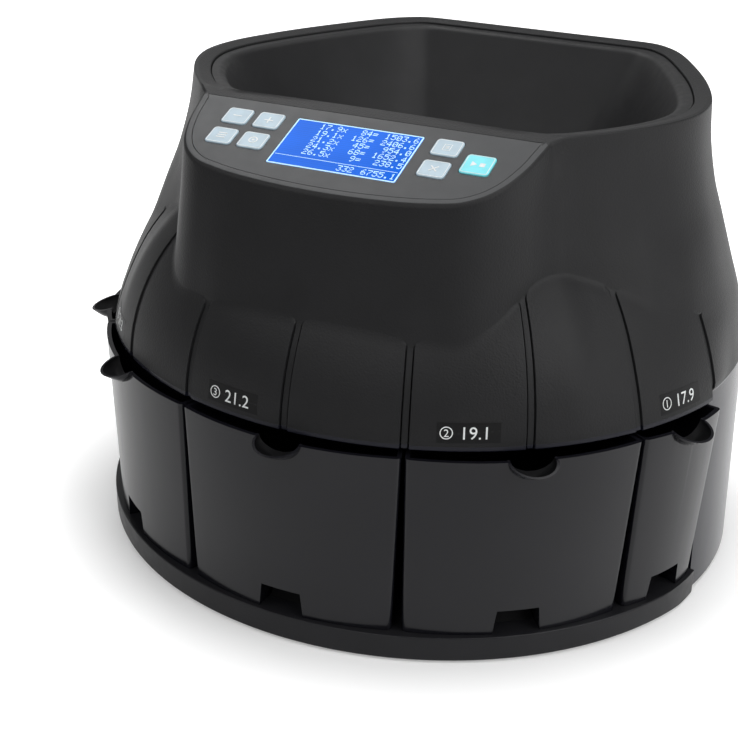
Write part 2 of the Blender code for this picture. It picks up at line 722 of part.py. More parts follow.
def make_casing(axis, panel, black):
    sections = casing_azimuths()
    shell = loft_ring("top_casing", [casing_profile(azimuth, dip) for azimuth, dip in sections])
    casing = piece("top_casing", shell, black, axis, smooth=True)
    bay = helper("bay_cutter", sector("bay_cutter", BAY_CUT_ANGLE, DOME_EDGE_RADIUS + CUT_OVERRUN,
                                      CASING_FOOT - CUT_OVERRUN, DOME_EDGE), axis)
    pocket = prism("pocket_cutter", on_panel(panel_outline(PLATE_INSET)),
                   -PANEL_PLATE - SEAT_GAP, CUT_OVERRUN)
    through = prism("panel_cutter", on_panel(panel_outline(PLATE_INSET + PANEL_LEDGE)),
                    -PANEL_WALL - CUT_OVERRUN, CUT_OVERRUN / 2)
    rear = block("rear_cutter", (2 * REAR_HALF_WIDTH, 4 * CUT_OVERRUN, REAR_HIGH - REAR_LOW),
                 (0.0, CASING_SKIRT_RADIUS - CUT_OVERRUN, (REAR_HIGH + REAR_LOW) / 2))
    cut(casing, bay, helper("pocket_cutter", pocket, panel), helper("panel_cutter", through, panel),
        helper("rear_cutter", rear, axis))


def make_bowl(axis, black):
    """Hopper bowl: a flange on the casing's ledge, and walls that fall to a round mouth over the disc."""
    grooves = [k * PANEL_ANGLE for k in range(-GROOVE_SIDE_COUNT, GROOVE_SIDE_COUNT + 1)]
    angles = sorted(plain_azimuths() + grooves)
    top = LEDGE_HEIGHT + SEAT_GAP + BOWL_FLANGE
    drop = top - BOWL_FOOT

    def section(azimuth):
        away = abs(math.remainder(azimuth, 2 * math.pi))
        mouth = radius_towards(OPENING, away) - SEAT_GAP
        start = mouth - BOWL_INSET
        inner = [(start + (BOWL_LIP_RADIUS - start) * out, top - drop * down) for down, out in BOWL_SHARES]
        outer = [(r + BOWL_WALL, z) for r, z in inner]
        outer[0] = (start + BOWL_WALL, top - BOWL_FLANGE)
        rim = [(mouth, top - BOWL_FLANGE), (mouth, top)]
        return [polar(r, azimuth, z) for r, z in rim + inner + outer[::-1]]

    piece("hopper_bowl", loft_ring("hopper_bowl", [section(a) for a in angles]), black, axis, smooth=True)


def cup_outline(half_angle, outer, inner, side_gap, corner, steps=8):
    """Plan of a cup, its middle towards -Y: a slightly flattened front, straight sides and a round back."""
    front_angle = half_angle - math.asin(side_gap / outer)
    back_angle = half_angle - math.asin(side_gap / inner)
    front = []
    for i in range(steps + 1):
        share = 2 * i / steps - 1
        front.append(polar(outer - CUP_FLATTENING * share**2, share * front_angle, 0.0).xy)
    back = [polar(inner, (1 - 2 * i / 4) * back_angle, 0.0).xy for i in range(5)]
    return fillet([tuple(p) for p in front + back], corner, 3, (0, steps))


def scoop_loops(radius, reach, depth, centre, top, rise):
    """Half a bowl under the cup's top edge, its rim falling outwards."""
    loops = []
    for i in range(4):
        angle = math.radians(74.0) * (3 - i) / 3
        ring = []
        for x, y in circle(1.0, 20):
            px, py = radius * math.cos(angle) * x, reach * (1.0 - SCOOP_TAPER * math.sin(angle)) * y
            ring.append(Vector((px, centre + py, top - depth * math.sin(angle) + SCOOP_FALL * py / reach)))
        loops.append(ring)
    loops.append([Vector((p.x, p.y, top + rise)) for p in loops[-1]])
    return loops


def make_cup(axis, number, azimuth, half_angle, black):
    """One cup, its own frame turned so that it slides out along its local -Y."""
    turn = (0.0, 0.0, azimuth)
    wall_top = at_height(cup_outline(half_angle, CUP_TOP_RADIUS, CUP_INNER_RADIUS, CUP_TOP_SIDE_GAP,
                                     CUP_CORNER), CUP_TOP)
    wall_foot = at_height(cup_outline(half_angle, CUP_FOOT_RADIUS, CUP_INNER_RADIUS, CUP_FOOT_SIDE_GAP,
                                      CUP_CORNER), CUP_FOOT)
    name = f"coin_cup_{number}"
    cup = piece(name, loft(name, [wall_foot, wall_top]), black, axis, turn=turn, smooth=True)

    def hollow(height, grown):
        share = (height - CUP_FOOT) / (CUP_TOP - CUP_FOOT)
        outer = CUP_FOOT_RADIUS + (CUP_TOP_RADIUS - CUP_FOOT_RADIUS) * share - CUP_WALL
        gap = CUP_FOOT_SIDE_GAP + (CUP_TOP_SIDE_GAP - CUP_FOOT_SIDE_GAP) * share + CUP_WALL
        return at_height(cup_outline(half_angle, outer, CUP_INNER_RADIUS + CUP_WALL, gap,
                                     CUP_CORNER - CUP_WALL), height + grown)

    cavity = helper(f"{name}_cavity", loft("cavity", [hollow(CUP_FOOT + CUP_WALL, 0.0),
                                                      hollow(CUP_TOP, CUT_OVERRUN)]), axis, turn=turn)
    channel_foot = RAIL_FOOT_WIDTH / 2 + GUIDE_GAP
    channel_top = RAIL_TOP_WIDTH / 2 + GUIDE_GAP
    channel_height = CUP_FOOT + RAIL_HEIGHT + GUIDE_GAP
    long = CUP_TOP_RADIUS + CUT_OVERRUN

    def channel(grown, low):
        wide_foot, wide_top = channel_foot + grown, channel_top + grown
        high = channel_height + grown
        outline = [(-wide_foot, low), (wide_foot, low), (wide_top, high), (-wide_top, high)]
        near = CUP_INNER_RADIUS - CUT_OVERRUN - grown
        return loft("channel", [[Vector((x, -reach, z)) for x, z in outline]
                                for reach in (near, long + grown)])

    cover = helper(f"{name}_channel_wall", channel(CUP_WALL, CUP_FOOT + CUP_WALL / 2), axis, turn=turn)
    cut(cavity, cover)
    wall_line = -(CUP_TOP_RADIUS - CUP_WALL / 2)
    reach = SCOOP_REACH + CUP_WALL / 2
    outer = scoop_loops(SCOOP_WIDTH / 2, reach, SCOOP_DEPTH, wall_line, CUP_TOP - SEAT_GAP, 0.0)[:-1]
    inner = scoop_loops(SCOOP_WIDTH / 2 - SCOOP_WALL, reach - SCOOP_WALL, SCOOP_DEPTH - SCOOP_WALL,
                        wall_line, CUP_TOP - SEAT_GAP, CUT_OVERRUN)
    join(cup, helper(f"{name}_scoop", loft("scoop", outer), axis, turn=turn))
    cut(cup, cavity, helper(f"{name}_scoop_hollow", loft("scoop_hollow", inner), axis, turn=turn),
        helper(f"{name}_channel", channel(0.0, CUP_FOOT - CUT_OVERRUN), axis, turn=turn))


def make_base(axis, black, rubber, steel):
    """Deck with a tapering skirt, guide rails on top, pads for the feet and bosses for boards and screws."""
    deck_foot = DECK_HEIGHT - BASE_WALL
    taper = (BASE_TOP_RADIUS - BASE_FOOT_RADIUS) / (DECK_HEIGHT - BASE_LIFT)
    inner_top = BASE_TOP_RADIUS - taper * BASE_WALL - BASE_WALL
    edge = BASE_WALL / 4
    outline = [(0.0, deck_foot), (inner_top, deck_foot), (BASE_FOOT_RADIUS - BASE_WALL, BASE_LIFT),
               (BASE_FOOT_RADIUS, BASE_LIFT), (BASE_TOP_RADIUS, DECK_HEIGHT - edge),
               (BASE_TOP_RADIUS - edge, DECK_HEIGHT), (0.0, DECK_HEIGHT)]
    base = piece("base_tray", turned("base_tray", outline, 72), black, axis, smooth=True)
    overlap = BASE_WALL / 2
    beyond = BASE_TOP_RADIUS + CUT_OVERRUN
    behind = sorted(a % (2 * math.pi) for a in plain_azimuths() if abs(a) > BAY_CUT_ANGLE)
    start = BAY_CUT_ANGLE - SEAT_GAP / beyond
    ends = [start] + behind + [2 * math.pi - start]
    notch = [tuple(polar(beyond, a, 0.0).xy) for a in ends]
    notch += [tuple(polar(DECK_EDGE_RADIUS, a, 0.0).xy) for a in reversed(ends)]
    cut(base, helper("skirt_seat", prism("skirt_seat", notch, -CUT_OVERRUN, DECK_HEIGHT + CUT_OVERRUN), axis))
    additions = []
    for number, azimuth in enumerate(CUP_AZIMUTHS, 1):
        half_foot, half_top = RAIL_FOOT_WIDTH / 2, RAIL_TOP_WIDTH / 2
        low, high = DECK_HEIGHT - overlap, DECK_HEIGHT + RAIL_HEIGHT
        near = CORE_RADIUS + CORE_WALL + RUNNING_GAP
        far = RAIL_END_RADIUS
        section = [(-half_foot, low), (half_foot, low), (half_top, high), (-half_top, high)]
        loops = [[Vector((x, -near, z)) for x, z in section],
                 [Vector((x, -(far - (RAIL_NOSE if z == high else 0.0)), z)) for x, z in section]]
        additions.append(helper(f"rail_{number}", loft("rail", loops), axis, turn=(0.0, 0.0, azimuth)))
    for i in range(FOOT_COUNT):
        azimuth = math.pi / FOOT_COUNT * (2 * i + 1)
        place = polar(FOOT_SPREAD, azimuth, 0.0)
        additions.append(helper(f"foot_pad_{i}", prism("foot_pad", circle(FOOT_RADIUS + BASE_WALL / 2, 16),
                                                       FOOT_PAD_HEIGHT, deck_foot + overlap), axis, place))
        profile = [(0.0, 0.0), (FOOT_RADIUS - edge, 0.0), (FOOT_RADIUS, edge),
                   (FOOT_RADIUS - edge, FOOT_PAD_HEIGHT - SEAT_GAP), (0.0, FOOT_PAD_HEIGHT - SEAT_GAP)]
        piece(f"foot_{i + 1}", turned("foot", profile, 16), rubber, axis, place, smooth=True)
    board_x, board_y = MAIN_BOARD_SIZE[0] / 2 - STANDOFF_RADIUS, MAIN_BOARD_SIZE[1] / 2 - STANDOFF_RADIUS
    for i, (a, b) in enumerate(((-1, -1), (1, -1), (1, 1), (-1, 1))):
        place = (a * board_x, MAIN_BOARD_Y + b * board_y, 0.0)
        standoff = prism("standoff", circle(STANDOFF_RADIUS, 10), DECK_HEIGHT - overlap,
                         DECK_HEIGHT + STANDOFF_HEIGHT)
        additions.append(helper(f"standoff_{i}", standoff, axis, place))
    join(base, *additions)


def make_core(axis, black):
    """Wall behind the cups that carries the sorting plate, with an end wall on each side of the cup bay."""
    inner, outer = CORE_RADIUS, CORE_RADIUS + CORE_WALL
    foot = DECK_HEIGHT + SEAT_GAP
    steps = 20
    spread = [BAY_END_ANGLE * (2 * i / steps - 1) for i in range(steps + 1)]
    front = [tuple(polar(outer, a, 0.0).xy) for a in spread]
    back = [tuple(polar(inner, a, 0.0).xy) for a in reversed(spread)]
    wall = prism("core_housing", front + back, foot, PLATE_HEIGHT - SEAT_GAP)
    core = piece("core_housing", wall, black, axis)
    for side in (-1, 1):
        corners = ((0.0, inner), (CORE_WALL, inner), (CORE_WALL, BAY_END_REACH), (0.0, BAY_END_REACH))
        plan = [(side * x, -y) for x, y in corners]
        join(core, helper(f"bay_end_{side}", prism("bay_end", plan, foot, DOME_EDGE - SEAT_GAP), axis,
                          turn=(0.0, 0.0, side * (BAY_END_ANGLE - SEAT_GAP / inner))))


def window_outline(azimuth, half_angle, coin):
    """Graded window in the sorting plate, as wide as its coin and a margin."""
    near, far = WINDOW_INNER_RADIUS, WINDOW_INNER_RADIUS + coin + WINDOW_MARGIN
    half = half_angle * WINDOW_SHARE
    spread = [azimuth + half * (2 * i / 4 - 1) for i in range(5)]
    outer = [tuple(polar(far, a, 0.0).xy) for a in spread]
    inner = [tuple(polar(near, a, 0.0).xy) for a in reversed(spread)]
    return outer + inner


def make_sorting_plate(axis, zinc, black):
    bore = BEARING_RADIUS + SEAT_GAP
    ring = PLATE_RADIUS - RAIL_RING_WIDTH
    rim_top = PLATE_TOP + RAIL_RING_HEIGHT
    outline = [(bore, PLATE_HEIGHT), (PLATE_RADIUS, PLATE_HEIGHT), (PLATE_RADIUS, rim_top), (ring, rim_top),
               (ring, PLATE_TOP), (bore, PLATE_TOP)]
    plate = piece("sorting_plate", turned("sorting_plate", outline, 60), zinc, axis, smooth=True)
    for number, (azimuth, half, coin) in enumerate(zip(CUP_AZIMUTHS, CUP_HALF_ANGLES, COIN_DIAMETERS), 1):
        window = prism("window", window_outline(azimuth, half, coin), PLATE_HEIGHT - CUT_OVERRUN,
                       PLATE_TOP + CUT_OVERRUN)
        cut(plate, helper(f"window_{number}", window, axis))
    width, depth, height = SENSOR_SIZE
    centre = ring - SEAT_GAP - depth / 2
    for number, azimuth in enumerate(CUP_AZIMUTHS, 1):
        sensor = block("coin_sensor", SENSOR_SIZE, (0.0, -centre, PLATE_TOP + COIN_GAP + height / 2))
        piece(f"coin_sensor_{number}", sensor, black, axis, turn=(0.0, 0.0, azimuth))


def vane_loops():
    """A swept rib on the disc, as two equal outlines one above the other."""
    steps = 4
    left, right = [], []
    for i in range(steps + 1):
        share = i / steps
        radius = DISC_HUB_RADIUS * 0.8 + (VANE_OUTER_RADIUS - DISC_HUB_RADIUS * 0.8) * share
        middle = polar(radius, VANE_SWEEP * share**2, 0.0)
        along = polar(1.0, VANE_SWEEP * share**2 + VANE_SWEEP * share, 0.0)
        across = Vector((-along.y, along.x, 0.0)) * VANE_WIDTH / 2
        left.append(middle + across)
        right.append(middle - across)
    outline = left + right[::-1]
    low, high = DISC_TOP - VANE_WIDTH / 2, DISC_TOP + VANE_HEIGHT
    return [[Vector((p.x, p.y, z)) for p in outline] for z in (low, high)]


def make_feed_disc(axis, zinc, steel, black):
    bore = SHAFT_RADIUS + SEAT_GAP
    hub_top = DISC_TOP + DISC_HUB_HEIGHT
    edge = DISC_THICKNESS / 4
    outline = [(bore, DISC_FOOT), (DISC_RADIUS, DISC_FOOT), (DISC_RADIUS, DISC_TOP - edge),
               (DISC_RADIUS - edge, DISC_TOP), (DISC_HUB_RADIUS, DISC_TOP),
               (DISC_HUB_RADIUS * 0.72, DISC_TOP + DISC_HUB_HEIGHT * 0.35),
               (DISC_HUB_RADIUS * 0.60, hub_top), (bore, hub_top)]
    disc = piece("feed_disc", turned("feed_disc", outline, 48), zinc, axis, smooth=True)
    for i in range(VANE_COUNT):
        join(disc, helper(f"vane_{i}", loft("vane", vane_loops()), axis,
                          turn=(0.0, 0.0, 2 * math.pi * i / VANE_COUNT)))
    knob_foot = hub_top + SEAT_GAP
    petals = []
    for i in range(8 * KNOB_LOBES):
        angle = 2 * math.pi * i / (8 * KNOB_LOBES)
        radius = KNOB_RADIUS * (1.0 - KNOB_LOBE_SHARE + KNOB_LOBE_SHARE * math.cos(KNOB_LOBES * angle))
        petals.append((radius * math.cos(angle), radius * math.sin(angle)))
    smaller = [(0.84 * x, 0.84 * y) for x, y in petals]
    knob = loft("disc_knob", [at_height(petals, knob_foot), at_height(petals, knob_foot + KNOB_HEIGHT * 0.75),
                              at_height(smaller, knob_foot + KNOB_HEIGHT)])
    piece("disc_knob", knob, black, axis, smooth=True)
    shaft_foot = MOTOR_PLATE_HEIGHT - SHAFT_TAIL
    shaft = turned("disc_shaft", [(0.0, shaft_foot), (SHAFT_RADIUS * 0.85, shaft_foot),
                                  (SHAFT_RADIUS, shaft_foot + SHAFT_RADIUS * 0.15), (SHAFT_RADIUS, hub_top),
                                  (0.0, hub_top)], 20)
    piece("disc_shaft", shaft, steel, axis, smooth=True)


def make_bearings(axis, brass):
    """Flanged bushes for the disc's shaft, in the sorting plate and in the motor plate."""
    bore = SHAFT_RADIUS + BEARING_CLEARANCE
    motor_plate_top = MOTOR_PLATE_HEIGHT + MOTOR_PLATE_THICKNESS
    for name, foot, top in (("upper_bearing", PLATE_HEIGHT, PLATE_TOP),
                            ("lower_bearing", MOTOR_PLATE_HEIGHT, motor_plate_top)):
        flange = BEARING_RADIUS + BEARING_FLANGE
        low = foot - SEAT_GAP - BEARING_FLANGE
        outline = [(bore, low), (flange, low), (flange, foot - SEAT_GAP), (BEARING_RADIUS, foot - SEAT_GAP),
                   (BEARING_RADIUS, top), (bore, top)]
        piece(name, turned(name, outline, 24), brass, axis, smooth=True)


def gear_outline(teeth, phase):
    """Stub-toothed spur gear outline; a tooth lies at the phase angle."""
    radius = GEAR_MODULE * teeth / 2
    tip = radius + GEAR_MODULE * GEAR_ADDENDUM_SHARE
    root = radius - GEAR_MODULE * GEAR_DEDENDUM_SHARE
    pitch = 2 * math.pi / teeth
    flank = ((root, -0.32), (tip, -0.11), (tip, 0.11), (root, 0.32))
    outline = []
    for tooth in range(teeth):
        for reach, share in flank:
            angle = phase + (tooth + share) * pitch
            outline.append((reach * math.cos(angle), reach * math.sin(angle)))
    return outline


def make_drive(axis, steel, brass, black):
    towards_motor = math.pi / 2
    gear_top = GEAR_FOOT + GEAR_THICKNESS
    teeth = prism("drive_gear", gear_outline(GEAR_TEETH, towards_motor), GEAR_FOOT, gear_top)
    gear = piece("drive_gear", teeth, black, axis)
    cut(gear, helper("gear_bore", prism("gear_bore", circle(SHAFT_RADIUS + SEAT_GAP, 20),
                                        GEAR_FOOT - CUT_OVERRUN, gear_top + CUT_OVERRUN), axis))
    spindle = empty("pinion_axis", (0.0, PINION_OFFSET, 0.0), axis)
    half_tooth = math.pi / PINION_TEETH
    outline = gear_outline(PINION_TEETH, -towards_motor + half_tooth)
    pinion = piece("motor_pinion", prism("motor_pinion", outline, GEAR_FOOT, gear_top), brass, spindle)
    stub_foot = MOTOR_PLATE_HEIGHT - MOTOR_LENGTH / 4
    join(pinion, helper("pinion_stub", prism("pinion_stub", circle(MOTOR_SHAFT_RADIUS, 12), stub_foot,
                                             GEAR_FOOT + GEAR_THICKNESS / 2), spindle))
    motor_top = MOTOR_PLATE_HEIGHT - SEAT_GAP
    motor_foot = motor_top - MOTOR_LENGTH
    boss_top = GEAR_FOOT - RUNNING_GAP * 2
    bore = MOTOR_SHAFT_RADIUS + BEARING_CLEARANCE
    edge = MOTOR_RADIUS / 12
    can = turned("motor", [(bore, stub_foot - RUNNING_GAP), (bore, boss_top), (MOTOR_BOSS_RADIUS, boss_top),
                           (MOTOR_BOSS_RADIUS, motor_top), (MOTOR_RADIUS - edge, motor_top),
                           (MOTOR_RADIUS, motor_top - edge), (MOTOR_RADIUS, motor_foot + edge),
                           (MOTOR_RADIUS - edge, motor_foot), (bore, motor_foot)], 28)
    piece("motor", can, steel, spindle, smooth=True)
    rim = CORE_RADIUS - RUNNING_GAP
    plate = piece("motor_plate", prism("motor_plate", circle(rim, 36), MOTOR_PLATE_HEIGHT,
                                       MOTOR_PLATE_HEIGHT + MOTOR_PLATE_THICKNESS), steel, axis)
    posts = []
    for i in range(POST_COUNT):
        place = polar(POST_SPREAD, math.pi / POST_COUNT * (2 * i + 1), 0.0)
        post = prism("post", circle(POST_RADIUS, 8), MOTOR_PLATE_HEIGHT + MOTOR_PLATE_THICKNESS / 2,
                     PLATE_HEIGHT - SEAT_GAP)
        posts.append(helper(f"post_{i}", post, axis, place))
    join(plate, *posts)
    low = MOTOR_PLATE_HEIGHT - CUT_OVERRUN
    high = MOTOR_PLATE_HEIGHT + MOTOR_PLATE_THICKNESS + CUT_OVERRUN
    shaft_hole = prism("shaft_hole", circle(BEARING_RADIUS + SEAT_GAP, 24), low, high)
    boss_hole = prism("boss_hole", circle(MOTOR_BOSS_RADIUS + SEAT_GAP, 20), low, high)
    cut(plate, helper("shaft_hole", shaft_hole, axis), helper("boss_hole", boss_hole, spindle))


def make_electronics(axis, board_green, metal, black):
    """Main board on its standoffs and the power supply's box, both inside the rear body."""
    foot = DECK_HEIGHT + STANDOFF_HEIGHT + SEAT_GAP
    board = piece("main_board", block("main_board", (*MAIN_BOARD_SIZE, BOARD_THICKNESS),
                                      (0.0, MAIN_BOARD_Y, foot + BOARD_THICKNESS / 2)), board_green, axis)
    top = foot + BOARD_THICKNESS
    for i, (u, v, width, depth, rise) in enumerate(COMPONENT_SHARES):
        height = rise * MAIN_BOARD_SIZE[1]
        size = (width * MAIN_BOARD_SIZE[0], depth * MAIN_BOARD_SIZE[1], height + BOARD_THICKNESS / 2)
        centre = (u * MAIN_BOARD_SIZE[0], MAIN_BOARD_Y + v * MAIN_BOARD_SIZE[1],
                  top + height / 2 - BOARD_THICKNESS / 4)
        join(board, helper(f"component_{i}", block("component", size, centre), axis))
    place = (*SUPPLY_PLACE, DECK_HEIGHT + SEAT_GAP + SUPPLY_SIZE[2] / 2)
    supply = piece("power_supply", block("power_supply", SUPPLY_SIZE, place), metal, axis)
    softened = supply.modifiers.new("edges", "BEVEL")
    softened.width = CASING_WALL / 2
    softened.segments = 2


def key_places():
    """Name, u, v and size of each key on the panel."""
    return (
        ("key_minus", -KEY_OUTER_U, KEY_UPPER_V, KEY_SIZE),
        ("key_plus", -KEY_INNER_U, KEY_UPPER_V, KEY_SIZE),
        ("key_batch", -KEY_OUTER_U, KEY_LOWER_V, KEY_SIZE),
        ("key_set", -KEY_INNER_U, KEY_LOWER_V, KEY_SIZE),
        ("key_print", KEY_INNER_U, KEY_UPPER_V, KEY_SIZE),
        ("key_clear", KEY_INNER_U, KEY_LOWER_V, KEY_SIZE),
        ("key_start", START_KEY_U, START_KEY_V, START_KEY_SIZE),
    )


def key_outline(size, grown):
    flat = rectangle(size[0] + 2 * grown, size[1] + 2 * grown)
    return fillet(flat, KEY_CORNER + grown)


def make_control_panel(panel, satin, glass, board_green, key_grey, key_blue, black):
    outline = on_panel(panel_outline(PLATE_INSET + SEAT_GAP))
    plate = piece("control_panel", prism("control_panel", outline, -PANEL_PLATE, 0.0), satin, panel)
    key_foot = -PANEL_PLATE - SEAT_GAP - KEY_FLANGE_THICKNESS
    board_top = key_foot - KEY_TRAVEL - SEAT_GAP - SWITCH_HEIGHT
    window = fillet(rectangle(WINDOW_WIDTH, WINDOW_HEIGHT), KEY_CORNER / 3, 2)
    opening = rectangle(WINDOW_WIDTH + 2 * SEAT_GAP, WINDOW_HEIGHT + 2 * SEAT_GAP)
    window_hole = fillet(opening, KEY_CORNER / 3, 2)
    place = (0.0, -WINDOW_V, 0.0)
    hole = prism("window_hole", window_hole, -PANEL_PLATE - CUT_OVERRUN, CUT_OVERRUN)
    cut(plate, helper("window_hole", hole, panel, place))
    piece("display_window", prism("display_window", window, -WINDOW_THICKNESS, 0.0), glass, panel, place)
    module_top = -PANEL_PLATE - SEAT_GAP
    module = prism("display_module", fillet(rectangle(MODULE_WIDTH, MODULE_HEIGHT), KEY_CORNER / 2, 2),
                   module_top - MODULE_DEPTH, module_top)
    piece("display_module", module, black, panel, place)
    for name, u, v, size in key_places():
        spot = (u, -v, 0.0)
        hole = prism("key_hole", key_outline(size, SEAT_GAP), -PANEL_PLATE - CUT_OVERRUN, CUT_OVERRUN)
        cut(plate, helper(f"{name}_hole", hole, panel, spot))
        soft = KEY_PROUD / 2
        loops = [(KEY_FLANGE, key_foot), (KEY_FLANGE, key_foot + KEY_FLANGE_THICKNESS), (0.0, module_top),
                 (0.0, KEY_PROUD - soft), (-soft, KEY_PROUD)]
        loops[2] = (0.0, key_foot + KEY_FLANGE_THICKNESS)
        cap = loft(name, [at_height(key_outline(size, grown), z) for grown, z in loops])
        piece(name, cap, key_blue if name == "key_start" else key_grey, panel, spot, smooth=True)
    sides = (("key_board_left", -(KEY_OUTER_U + KEY_INNER_U) / 2, [k for k in key_places() if k[1] < 0.0]),
             ("key_board_right", (START_KEY_U + KEY_INNER_U) / 2, [k for k in key_places() if k[1] > 0.0]))
    width = KEY_OUTER_U - KEY_INNER_U + KEY_SIZE[0]
    length = KEY_LOWER_V - KEY_UPPER_V + KEY_SIZE[1]
    middle = (KEY_UPPER_V + KEY_LOWER_V) / 2
    for name, u, keys in sides:
        board = piece(name, block(name, (width, length, BOARD_THICKNESS),
                                  (u, -middle, board_top - BOARD_THICKNESS / 2)), board_green, panel)
        for key, key_u, key_v, _ in keys:
            dome = prism("switch", circle(SWITCH_RADIUS, 12), board_top - BOARD_THICKNESS / 2,
                         board_top + SWITCH_HEIGHT)
            join(board, helper(f"{key}_switch", dome, panel, (key_u, -key_v, 0.0)))
        for i, share in enumerate((-0.4, 0.4)):
            pin = prism("pin", circle(BOARD_PIN_RADIUS, 10), board_top + SEAT_GAP, -PANEL_PLATE / 2)
            join(plate, helper(f"{name}_pin_{i}", pin, panel, (u, -(middle + share * length), 0.0)))


def upright(outline, y):
    """An outline of (x, z) points set in a plane across Y."""
    return [Vector((x, y, z)) for x, z in outline]


def slab(name, outline, near, far):
    return loft(name, [upright(outline, near), upright(outline, far)])


def make_rear(axis, black, gloss, metal, brass):
    """Recessed panel in the rear body with the power inlet, its switch and the printer's socket."""
    middle = (REAR_LOW + REAR_HIGH) / 2
    width, height = 2 * (REAR_HALF_WIDTH - SEAT_GAP), REAR_HIGH - REAR_LOW - 2 * SEAT_GAP
    back = REAR_FACE - REAR_BACK_WALL
    tray = piece("rear_panel", slab("rear_panel", rectangle(width, height, (0.0, middle)), back,
                                    CASING_SKIRT_RADIUS + CUT_OVERRUN), black, axis)
    trim = helper("rear_trim", prism("rear_trim", circle(CASING_SKIRT_RADIUS - CASING_WALL / 2, 96),
                                     REAR_LOW - CUT_OVERRUN, REAR_HIGH + CUT_OVERRUN), axis)
    combine(tray, trim, "INTERSECT")
    pocket = rectangle(width - 2 * REAR_WALL, height - 2 * REAR_WALL, (0.0, middle))
    beyond = CASING_SKIRT_RADIUS + 2 * CUT_OVERRUN
    cut(tray, helper("rear_pocket", slab("rear_pocket", pocket, REAR_FACE, beyond), axis))

    def through(name, x, size):
        hole = rectangle(size[0] + 2 * SEAT_GAP, size[1] + 2 * SEAT_GAP, (x, middle))
        cut(tray, helper(name, slab(name, hole, back - CUT_OVERRUN, REAR_FACE + CUT_OVERRUN), axis))

    def body(name, x, size, depth, finish):
        """Block through the panel with a flange on its outside."""
        flange = rectangle(size[0] + 2 * INLET_FLANGE, size[1] + 2 * INLET_FLANGE, (x, middle))
        inner = rectangle(*size, (x, middle))
        face = REAR_FACE + SEAT_GAP
        front = face + INLET_FLANGE
        rows = [(inner, front - depth), (inner, face), (flange, face), (flange, front - INLET_FLANGE / 3),
                ([(x + (u - x) * 0.96, middle + (v - middle) * 0.96) for u, v in flange], front)]
        thing = piece(name, loft(name, [upright(ring, y) for ring, y in rows]), finish, axis)
        through(f"{name}_hole", x, size)
        return thing, front

    inlet, front = body("power_inlet", INLET_X, INLET_SIZE, INLET_DEPTH, gloss)
    socket = fillet(rectangle(*INLET_SOCKET, (INLET_X, middle)), INLET_SOCKET[1] / 4, 2, (2, 3))
    floor = front - INLET_DEPTH + HOUSING_WALL
    cut(inlet, helper("inlet_socket", slab("inlet_socket", socket, floor, front + CUT_OVERRUN), axis))
    for i, (share_x, share_z) in enumerate(((-0.28, -0.12), (0.0, 0.2), (0.28, -0.12))):
        pin = rectangle(INLET_FLANGE, INLET_FLANGE * 2, (INLET_X + share_x * INLET_SOCKET[0],
                                                         middle + share_z * INLET_SOCKET[1]))
        contact = slab("inlet_pin", pin, floor - HOUSING_WALL / 2, floor + PIN_LENGTH)
        join(inlet, helper(f"inlet_pin_{i}", contact, axis))

    port, front = body("printer_port", PORT_X, PORT_SIZE, PORT_DEPTH, metal)
    socket = rectangle(*PORT_SOCKET, (PORT_X, middle))
    cut(port, helper("port_socket", slab("port_socket", socket, front - PORT_DEPTH + HOUSING_WALL,
                                         front + CUT_OVERRUN), axis))

    seat = [side + 2 * (RUNNING_GAP + HOUSING_WALL) for side in ROCKER_SIZE]
    housing, front = body("switch_housing", ROCKER_X, seat, INLET_DEPTH, gloss)
    hole = rectangle(ROCKER_SIZE[0] + 2 * RUNNING_GAP, ROCKER_SIZE[1] + 2 * RUNNING_GAP, (ROCKER_X, middle))
    cut(housing, helper("rocker_seat", slab("rocker_seat", hole, front - INLET_DEPTH + HOUSING_WALL,
                                            front + CUT_OVERRUN), axis))
    pivot_y = front - ROCKER_SIZE[1] / 6
    pivot = empty("rocker_axis", (ROCKER_X, pivot_y, middle), axis, (-ROCKER_ANGLE, 0.0, 0.0))
    half = ROCKER_SIZE[1] / 2 - RUNNING_GAP
    crown = front - pivot_y + HOUSING_WALL
    section = [(crown, -half), (crown * 0.72, 0.0), (crown, half), (-crown * 0.2, half * 0.9),
               (-crown * 0.9, half * 0.35), (-crown * 0.9, -half * 0.35), (-crown * 0.2, -half * 0.9)]
    loops = [[Vector((x, y, z)) for y, z in section]
             for x in (-ROCKER_SIZE[0] / 2 + RUNNING_GAP / 2, ROCKER_SIZE[0] / 2 - RUNNING_GAP / 2)]
    piece("switch_rocker", loft("switch_rocker", loops), black, pivot)


